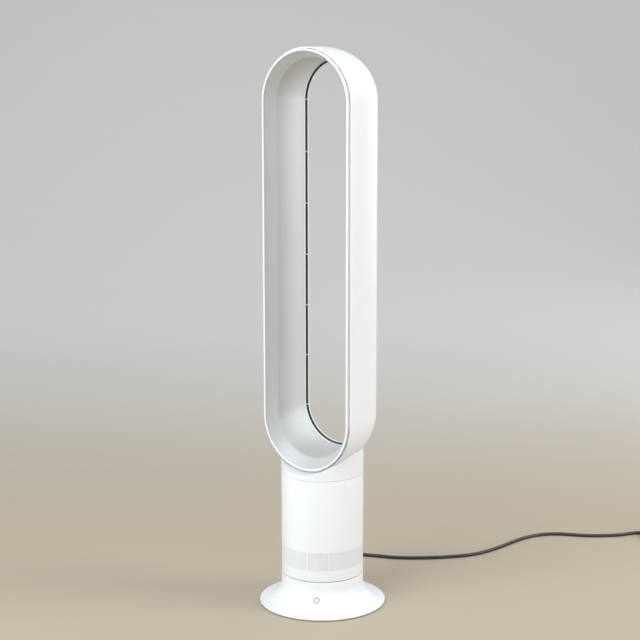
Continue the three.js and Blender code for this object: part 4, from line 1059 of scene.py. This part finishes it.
def loopLiner(values):
    # rear edge and throat of the slot, the long inner wall, the soft crease and the flared front
    flangeFront = values["rimFront"] + values["rimDepth"] + values["flangeGap"]
    flangeRadius = values["rimRadius"] - values["flangeInset"]
    throat = values["slotRadius"] + values["throatDepth"]
    throatOut = throat + values["throatWall"]
    # the painted highlight band runs from here back to the liner's rear edge
    highlightFront = values["linerEdge"] - values["highlightBand"]
    rear = rounded([
        (values["linerEnd"], throatOut, 0), (values["linerEnd"], throat, values["throatRound"]),
        (values["linerEdge"] + values["throatRamp"], throat, values["throatRound"]),
        (values["linerEdge"], values["slotRadius"], values["edgeRound"]),
        (highlightFront, linerRadius(highlightFront, values), 0),
    ], closed=False, steps=5)
    rows = values["linerRows"]
    creaseBack = values["crease"] + values["creaseRound"] / 2
    depths = [highlightFront + (creaseBack - highlightFront) * i / rows for i in range(1, rows + 1)]
    inside = [(y, linerRadius(y, values)) for y in depths]
    flare = rounded([
        (*inside[-1], 0), (values["crease"], values["creaseRadius"], values["creaseRound"]),
        (flangeFront, values["rimInner"], 0),
    ], closed=False, steps=10)
    flange = rounded([
        (flangeFront, values["rimInner"], 0), (flangeFront, flangeRadius, values["flangeInset"]),
        (flangeFront + values["flangeDepth"], flangeRadius, values["flangeInset"]),
        (flangeFront + values["flangeDepth"] + 0.2, values["rimInner"] + 1.4, 0),
    ], closed=False)
    outside = [
        (values["crease"] + 1, values["creaseRadius"] + values["linerWall"]),
        (values["wallMiddle"], linerRadius(values["wallMiddle"], values) + values["linerWall"]),
        (values["linerEdge"] - 2, throatOut),
    ]
    section = rear + inside + flare[1:] + flange[1:] + outside
    piece = makePiece("loop_liner", ovalRings(section, innerLift, values), "silver_lacquer", "head",
                      ["loop_nozzle"], smooth=45)
    # painted highlight: the white shell finish along the rear edge; painted shade: the dark plastic
    # finish in the throat
    piece.data.materials.append(finishes["shell_white"])
    piece.data.materials.append(finishes["dark_plastic"])
    for face in piece.data.polygons:
        depth = face.center.y / mm
        if depth > values["linerEdge"] + 0.1:
            face.material_index = 2
        elif depth > highlightFront:
            face.material_index = 1


def slotSpacers(values):
    # nubs down each side hold the slot open
    parts = []
    low = values["lipRadius"] + 0.1
    high = values["slotRadius"] + values["throatDepth"] + 0.4
    half = values["spacerSize"] / 2
    for side in (-1, 1):
        near, far = sorted((side * low, side * high))
        for i in range(values["spacers"]):
            z = values["archTop"] - i * values["spacerPitch"]
            parts.append(boxPart((near, values["linerEdge"] + 0.2, z - half),
                                 (far, values["lipFront"] - 0.1, z + half)))
    makePiece("slot_spacers", together(*parts), "silver_lacquer", "head")


def rimRing(values):
    back = values["rimFront"] + values["rimDepth"]
    section = rounded([
        (back, values["rimInner"] - 0.4, 0), (values["rimFront"], values["rimInner"], 0.5),
        (values["rimFront"], values["rimRadius"], 0.8), (back, values["rimRadius"], 0.2),
    ])
    makePiece("rim_ring", ovalRings(section, noLift, values), "shell_white", "head", ["front_rim"],
              smooth=45)


loopShell(loopValues)
loopLiner(loopValues)
slotSpacers(loopValues)
rimRing(loopValues)
print("loop made")


neckValues = {"gap": 0.3, "seam": 0.4, "bottomRound": 0.35, "topRound": 0.6, "rings": 40, "steps": 256}


def saddleHeight(x, y):
    radius = envelopeRadius(y) + neckValues["gap"]
    return loopValues["archBottom"] + outerLift(y) - math.sqrt(radius ** 2 - x ** 2)


def neckSaddle(values):
    # a round tube whose top follows the loop's outside and closes under it
    bottom = shellTop + values["seam"]
    quarter = [math.pi / 2 * i / values["rings"] for i in range(1, values["rings"])]
    radii = [bodyRadius * math.sin(angle) for angle in reversed(quarter)]
    columns = []
    for k in range(values["steps"]):
        angle = 2 * math.pi * k / values["steps"]
        c, s = math.cos(angle), math.sin(angle)
        edge = saddleHeight(bodyRadius * c, bodyRadius * s)
        spots = [(0, bottom), (bodyRadius - values["bottomRound"], bottom),
                 (bodyRadius, bottom + values["bottomRound"])]
        spots += [(bodyRadius, bottom + (edge - bottom) * share) for share in (0.25, 0.5, 0.75)]
        spots.append((bodyRadius, edge - values["topRound"]))
        spots += [(r, saddleHeight(r * c, r * s)) for r in radii]
        spots.append((0, saddleHeight(0, 0)))
        columns.append([(r * c, r * s, z) for r, z in spots])
    makePiece("neck_saddle", gridMesh(columns, closed=False), "shell_white", "head", ["neck_collar"],
              smooth=38)


neckSaddle(neckValues)
print("neck made")

cordValues = {
    "radius": 3.3, "length": 2000, "gap": 0.3,
    "drop": [(0, 0), (9, 0.4), (20, 3), (34, 7.6)],       # reach past the sleeve, and fall
    "landing": (-80, 149, 4.4),
    "onFloor": [
        (-87, 166), (-94, 187), (-96, 207), (-91, 226), (-80, 241), (-65, 249.5), (-47.8, 255.6),
        (-15.2, 268), (19.9, 290), (49.4, 314.4), (76.6, 342.1), (96.8, 368), (111.6, 402),
        (122, 451), (128, 499), (138.5, 542), (157.5, 573.3), (178.8, 590.5), (204.6, 602.5),
        (232.6, 616), (262, 637.5), (284.6, 660), (301.7, 686.7),
    ],
    "coilMiddle": (365, 710), "coilStart": 165, "coilTurns": 5, "coilPitch": 7.4, "climbTuck": 1.5,
    "coilGuess": 36.0, "fitRounds": 8, "fitSteps": 48, "coilSteps": 36,
    "leadIn": 26, "leadEnd": 9, "leadLift": 0.2, "tailReach": 48,
}
reliefValues = {
    "bore": 0.1, "neck": 2, "tip": 1.4,      # added to the cord's radius
    "length": 30, "tail": 12, "start": 4, "collar": 1.6, "collarLength": 2.5,
    "grooves": 6, "groovesFrom": 6.0, "groovesEnd": 3, "grooveDepth": 0.9, "grooveShare": 0.4,
    "chamfer": 0.3, "steps": 48,
}
tieValues = {
    "thickness": 0.8, "halfWidth": 4.5, "low": 0.1, "turn": 0.62,
    "foldFrom": 0.1, "foldTo": 0.9, "foldRise": 0.7,
}
plugValues = {
    "length": 34, "width": 26, "height": 14, "neck": 12, "spread": 19, "middle": 7.3,
    "growFrom": 0.6, "growOver": 15, "ribFrom": 24, "ribTo": 36, "ribDepth": 0.35,
    "endRound": 1.2, "endShrink": 0.06, "squareness": 0.45, "sections": 60, "steps": 48,
    "pinRadius": 2.0, "pinLength": 19, "pinSink": 7, "pinRound": 1.2,
}
floorLine = cordValues["radius"] + 0.05


def cordExit():
    reach = flareSurface(baseValues["cordHeight"]) + reliefValues["length"] + cordValues["gap"]
    return turnBase @ Vector((0, reach, baseValues["cordHeight"]))


def runPoints():
    # out of the sleeve, down to the floor and along it to the coil
    start = cordExit()
    outward = turnBase.to_3x3() @ Vector((0, 1, 0))
    points = []
    for reach, fall in cordValues["drop"]:
        point = start + outward * reach
        points.append(Vector((point.x, point.y, baseValues["cordHeight"] - fall)))
    points.append(Vector(cordValues["landing"]))
    points.extend(Vector((x, y, floorLine)) for x, y in cordValues["onFloor"])
    return points


def coilPoint(turn, mean):
    # winds inwards on the floor, climbs a layer in half a turn and winds out again on top
    values = cordValues
    layer = (values["coilTurns"] - 0.5) / 2
    outer = mean + values["coilPitch"] * layer / 2
    climb = min(1.0, max(0.0, (turn - layer) / 0.5))
    inwards = min(turn, layer)
    outwards = max(0.0, turn - layer - 0.5)
    tuck = values["climbTuck"] * math.sin(math.pi * climb)
    radius = outer - values["coilPitch"] * (inwards - outwards) - tuck
    z = floorLine + tieValues["thickness"] + values["gap"] + values["coilPitch"] * easedShare(climb)
    angle = math.radians(values["coilStart"] - 360 * turn)
    middle = values["coilMiddle"]
    return Vector((middle[0] + radius * math.cos(angle), middle[1] + radius * math.sin(angle), z))


def easedShare(share):
    return share * share * (3 - 2 * share)


def coilLine(mean, perTurn):
    count = round(cordValues["coilTurns"] * perTurn)
    return [coilPoint(i * cordValues["coilTurns"] / count, mean) for i in range(count + 1)]


def smoothLine(points, perSpan=8):
    # a centripetal curve through the points, sampled evenly between each two
    first = points[0] + (points[0] - points[1])
    last = points[-1] + (points[-1] - points[-2])
    knots = [first, *points, last]
    line = []
    for i in range(1, len(knots) - 2):
        p = knots[i - 1:i + 3]
        t = [0.0]
        for k in range(3):
            t.append(t[-1] + max(1e-6, (p[k + 1] - p[k]).length ** 0.5))
        for k in range(perSpan):
            at = t[1] + (t[2] - t[1]) * k / perSpan
            a = [p[j].lerp(p[j + 1], (at - t[j]) / (t[j + 1] - t[j])) for j in range(3)]
            b = [a[j].lerp(a[j + 1], (at - t[j]) / (t[j + 2] - t[j])) for j in range(2)]
            line.append(b[0].lerp(b[1], (at - t[1]) / (t[2] - t[1])))
    line.append(points[-1].copy())
    return line


def lineLength(points):
    return sum((b - a).length for a, b in zip(points, points[1:]))


def fitCoil(values):
    # the mean radius that leaves the whole cord at its real length
    run = runPoints()
    mean = values["coilGuess"]
    for _ in range(values["fitRounds"]):
        left = values["length"] - lineLength(smoothLine(run)) - values["tailReach"]
        left -= (run[-1] - coilPoint(0, mean)).length
        mean *= left / lineLength(coilLine(mean, values["fitSteps"]))
    return mean


coilMean = fitCoil(cordValues)


def tailPoints():
    # off the coil's end and up to the middle of the plug, with the way that it points
    turns = cordValues["coilTurns"]
    end = coilPoint(turns, coilMean)
    ahead = (end - coilPoint(turns - 0.01, coilMean)).normalized()
    middle = plugValues["middle"]
    points = []
    for reach, z in ((8, None), (26, middle + 1.5), (40, middle), (cordValues["tailReach"], middle)):
        point = end + ahead * reach
        if z is not None:
            point.z = z
        points.append(point)
    return points, ahead


def mainsCord(values):
    start = coilPoint(0, coilMean)
    ahead = (coilPoint(0.01, coilMean) - start).normalized()
    near = start - ahead * values["leadIn"]
    near.z = floorLine + values["leadLift"]
    meet = start - ahead * values["leadEnd"]
    coil = coilLine(coilMean, values["coilSteps"])
    points = smoothLine([*runPoints(), near, meet], 8)[:-1]
    points += smoothLine([meet, *coil, *tailPoints()[0]], 3)
    data = bpy.data.curves.new("mains_cord", "CURVE")
    data.dimensions = "3D"
    data.bevel_depth = values["radius"] * mm
    data.bevel_resolution = 5
    data.use_fill_caps = True
    spline = data.splines.new("POLY")
    spline.points.add(len(points) - 1)
    for place, point in zip(spline.points, points):
        place.co = (*(point * mm), 1)
    data.materials.append(finishes["cord_sheath"])
    cord = addObject("mains_cord", data)
    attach(cord, "base")
    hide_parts("cord_run", "cord_coil", "cord_tail")
    return cord


def strainRelief(values):
    # tapered sleeve with open rings cut into it
    bore, neck, tip = (cordValues["radius"] + values[key] for key in ("bore", "neck", "tip"))
    collar = neck + values["collar"]
    collarEnd = values["collarLength"] - values["tail"]
    corners = [(bore, -values["tail"], 0), (collar, -values["tail"], 0.4), (collar, collarEnd, 0.4),
               (neck, collarEnd, 0), (neck, values["start"], 0.3)]
    first = values["groovesFrom"]
    span = values["length"] - values["groovesEnd"] - first
    width = span / values["grooves"]
    cut = width * values["grooveShare"]
    for i in range(values["grooves"]):
        z = first + span * i / values["grooves"]
        radius = neck + (tip - neck) * (z - values["start"]) / (values["length"] - values["start"])
        floor = radius - values["grooveDepth"]
        corners += [(radius, z, 0.25), (floor, z + values["chamfer"], 0.2), (floor, z + cut, 0.2),
                    (radius - 0.05, z + cut + values["chamfer"], 0.25)]
    corners += [(tip, values["length"], 0.5), (bore, values["length"], 0.2)]
    part = moved(turned(rounded(corners, steps=3), values["steps"]), turnBase @ cordPlace())
    return makePiece("strain_relief", part, "cord_sheath", "base", ["cord_gland"], smooth=45)


def coilTie(values):
    # a soft strap round the five turns, with a small fold where it fastens
    thick = values["thickness"]
    layers = cordValues["coilPitch"] * (cordValues["coilTurns"] - 0.5) / 4
    half = layers + cordValues["radius"] + 5 * cordValues["gap"]
    low = values["low"]
    high = 2 * cordValues["radius"] + cordValues["coilPitch"] + thick + 3 * cordValues["gap"]
    outer = rounded([(-half - thick, low, 3.5), (half + thick, low, 3.5),
                     (half + thick, high + thick, 4.5), (-half - thick, high + thick, 4.5)], steps=6)
    inner = rounded([(-half, low + thick, 3), (half, low + thick, 3),
                     (half, high, 4), (-half, high, 4)], steps=6)
    wide = values["halfWidth"]
    # four outlines, out and in on both edges of the strap, joined round its section
    rings = [[(x + coilMean, y, z) for x, z in outline]
             for y in (-wide, wide) for outline in (outer, inner)]
    count = len(outer)
    verts = [point for ring in rings for point in ring]
    faces = []
    for i in range(count):
        j = (i + 1) % count
        for first, second in ((0, 2), (1, 3), (0, 1), (2, 3)):
            faces.append((first * count + i, first * count + j, second * count + j, second * count + i))
    fold = boxPart((coilMean + half * values["foldFrom"], -wide, high + thick),
                   (coilMean + half * values["foldTo"], wide, high + thick + values["foldRise"]))
    angle = math.radians(cordValues["coilStart"] - 360 * values["turn"])
    place = Matrix.Translation((*cordValues["coilMiddle"], 0)) @ Matrix.Rotation(angle, 4, "Z")
    part = moved(together((verts, faces), fold), place)
    return makePiece("coil_tie", part, "rubber_black", "base", ["cord_tie"])


def plugPlace():
    points, ahead = tailPoints()
    return Matrix.Translation(points[-1]) @ Matrix.Rotation(math.atan2(ahead.y, ahead.x), 4, "Z")


def plugBody(values):
    # a lofted grip: round at the cord, flat and wide at the pins, with finger ribs on its sides
    rings = []
    neck = cordValues["radius"] + 1.4
    front = values["neck"] + values["length"]
    for i in range(values["sections"] + 1):
        x = 0.3 + (front - 0.3) * i / values["sections"]
        grow = min(1.0, max(0.0, (x - values["neck"] * values["growFrom"]) / values["growOver"]))
        grow = easedShare(grow)
        halfWidth = neck + (values["width"] / 2 - neck) * grow
        halfHeight = neck + (values["height"] / 2 - neck) * grow
        end = min(1.0, (front - x) / values["endRound"])
        shrink = 1 - values["endShrink"] + values["endShrink"] * math.sin(end * math.pi / 2)
        ribs = 0.0
        if values["ribFrom"] < x < values["ribTo"]:
            ribs = values["ribDepth"] * max(0.0, math.sin((x - values["ribFrom"]) * math.pi / 2))
        power = 1.0 - values["squareness"] * grow
        ring = []
        for k in range(values["steps"]):
            angle = 2 * math.pi * k / values["steps"]
            c, s = math.cos(angle), math.sin(angle)
            y = math.copysign(abs(c) ** power, c) * (halfWidth - ribs) * shrink
            z = math.copysign(abs(s) ** power, s) * halfHeight * shrink
            ring.append((x, y, z))
        rings.append(ring)
    return makePiece("plug_grip", moved(loft(rings), plugPlace()), "rubber_black", "base",
                     ["plug_body"], smooth=50)


def plugPins(values):
    pieces = []
    front = values["neck"] + values["length"]
    lie = Matrix.Rotation(math.pi / 2, 4, "Y")
    pin = turned(rounded([
        (0, -values["pinSink"], 0), (values["pinRadius"], -values["pinSink"], 0),
        (values["pinRadius"], values["pinLength"], values["pinRound"]), (0, values["pinLength"], 0),
    ], closed=False, steps=6), 40)
    for index, side in enumerate((-1, 1)):
        place = plugPlace() @ Matrix.Translation((front, side * values["spread"] / 2, 0)) @ lie
        pieces.append(makePiece(f"plug_blade_{index + 1}", moved(pin, place), "steel", "base",
                                [f"plug_pin_{index + 1}"], smooth=50))
    return pieces


relief = strainRelief(reliefValues)
tie = coilTie(tieValues)
grip = plugBody(plugValues)
blades = plugPins(plugValues)
mainsCord(cordValues)
print("cord made, coil radius", round(coilMean, 2))
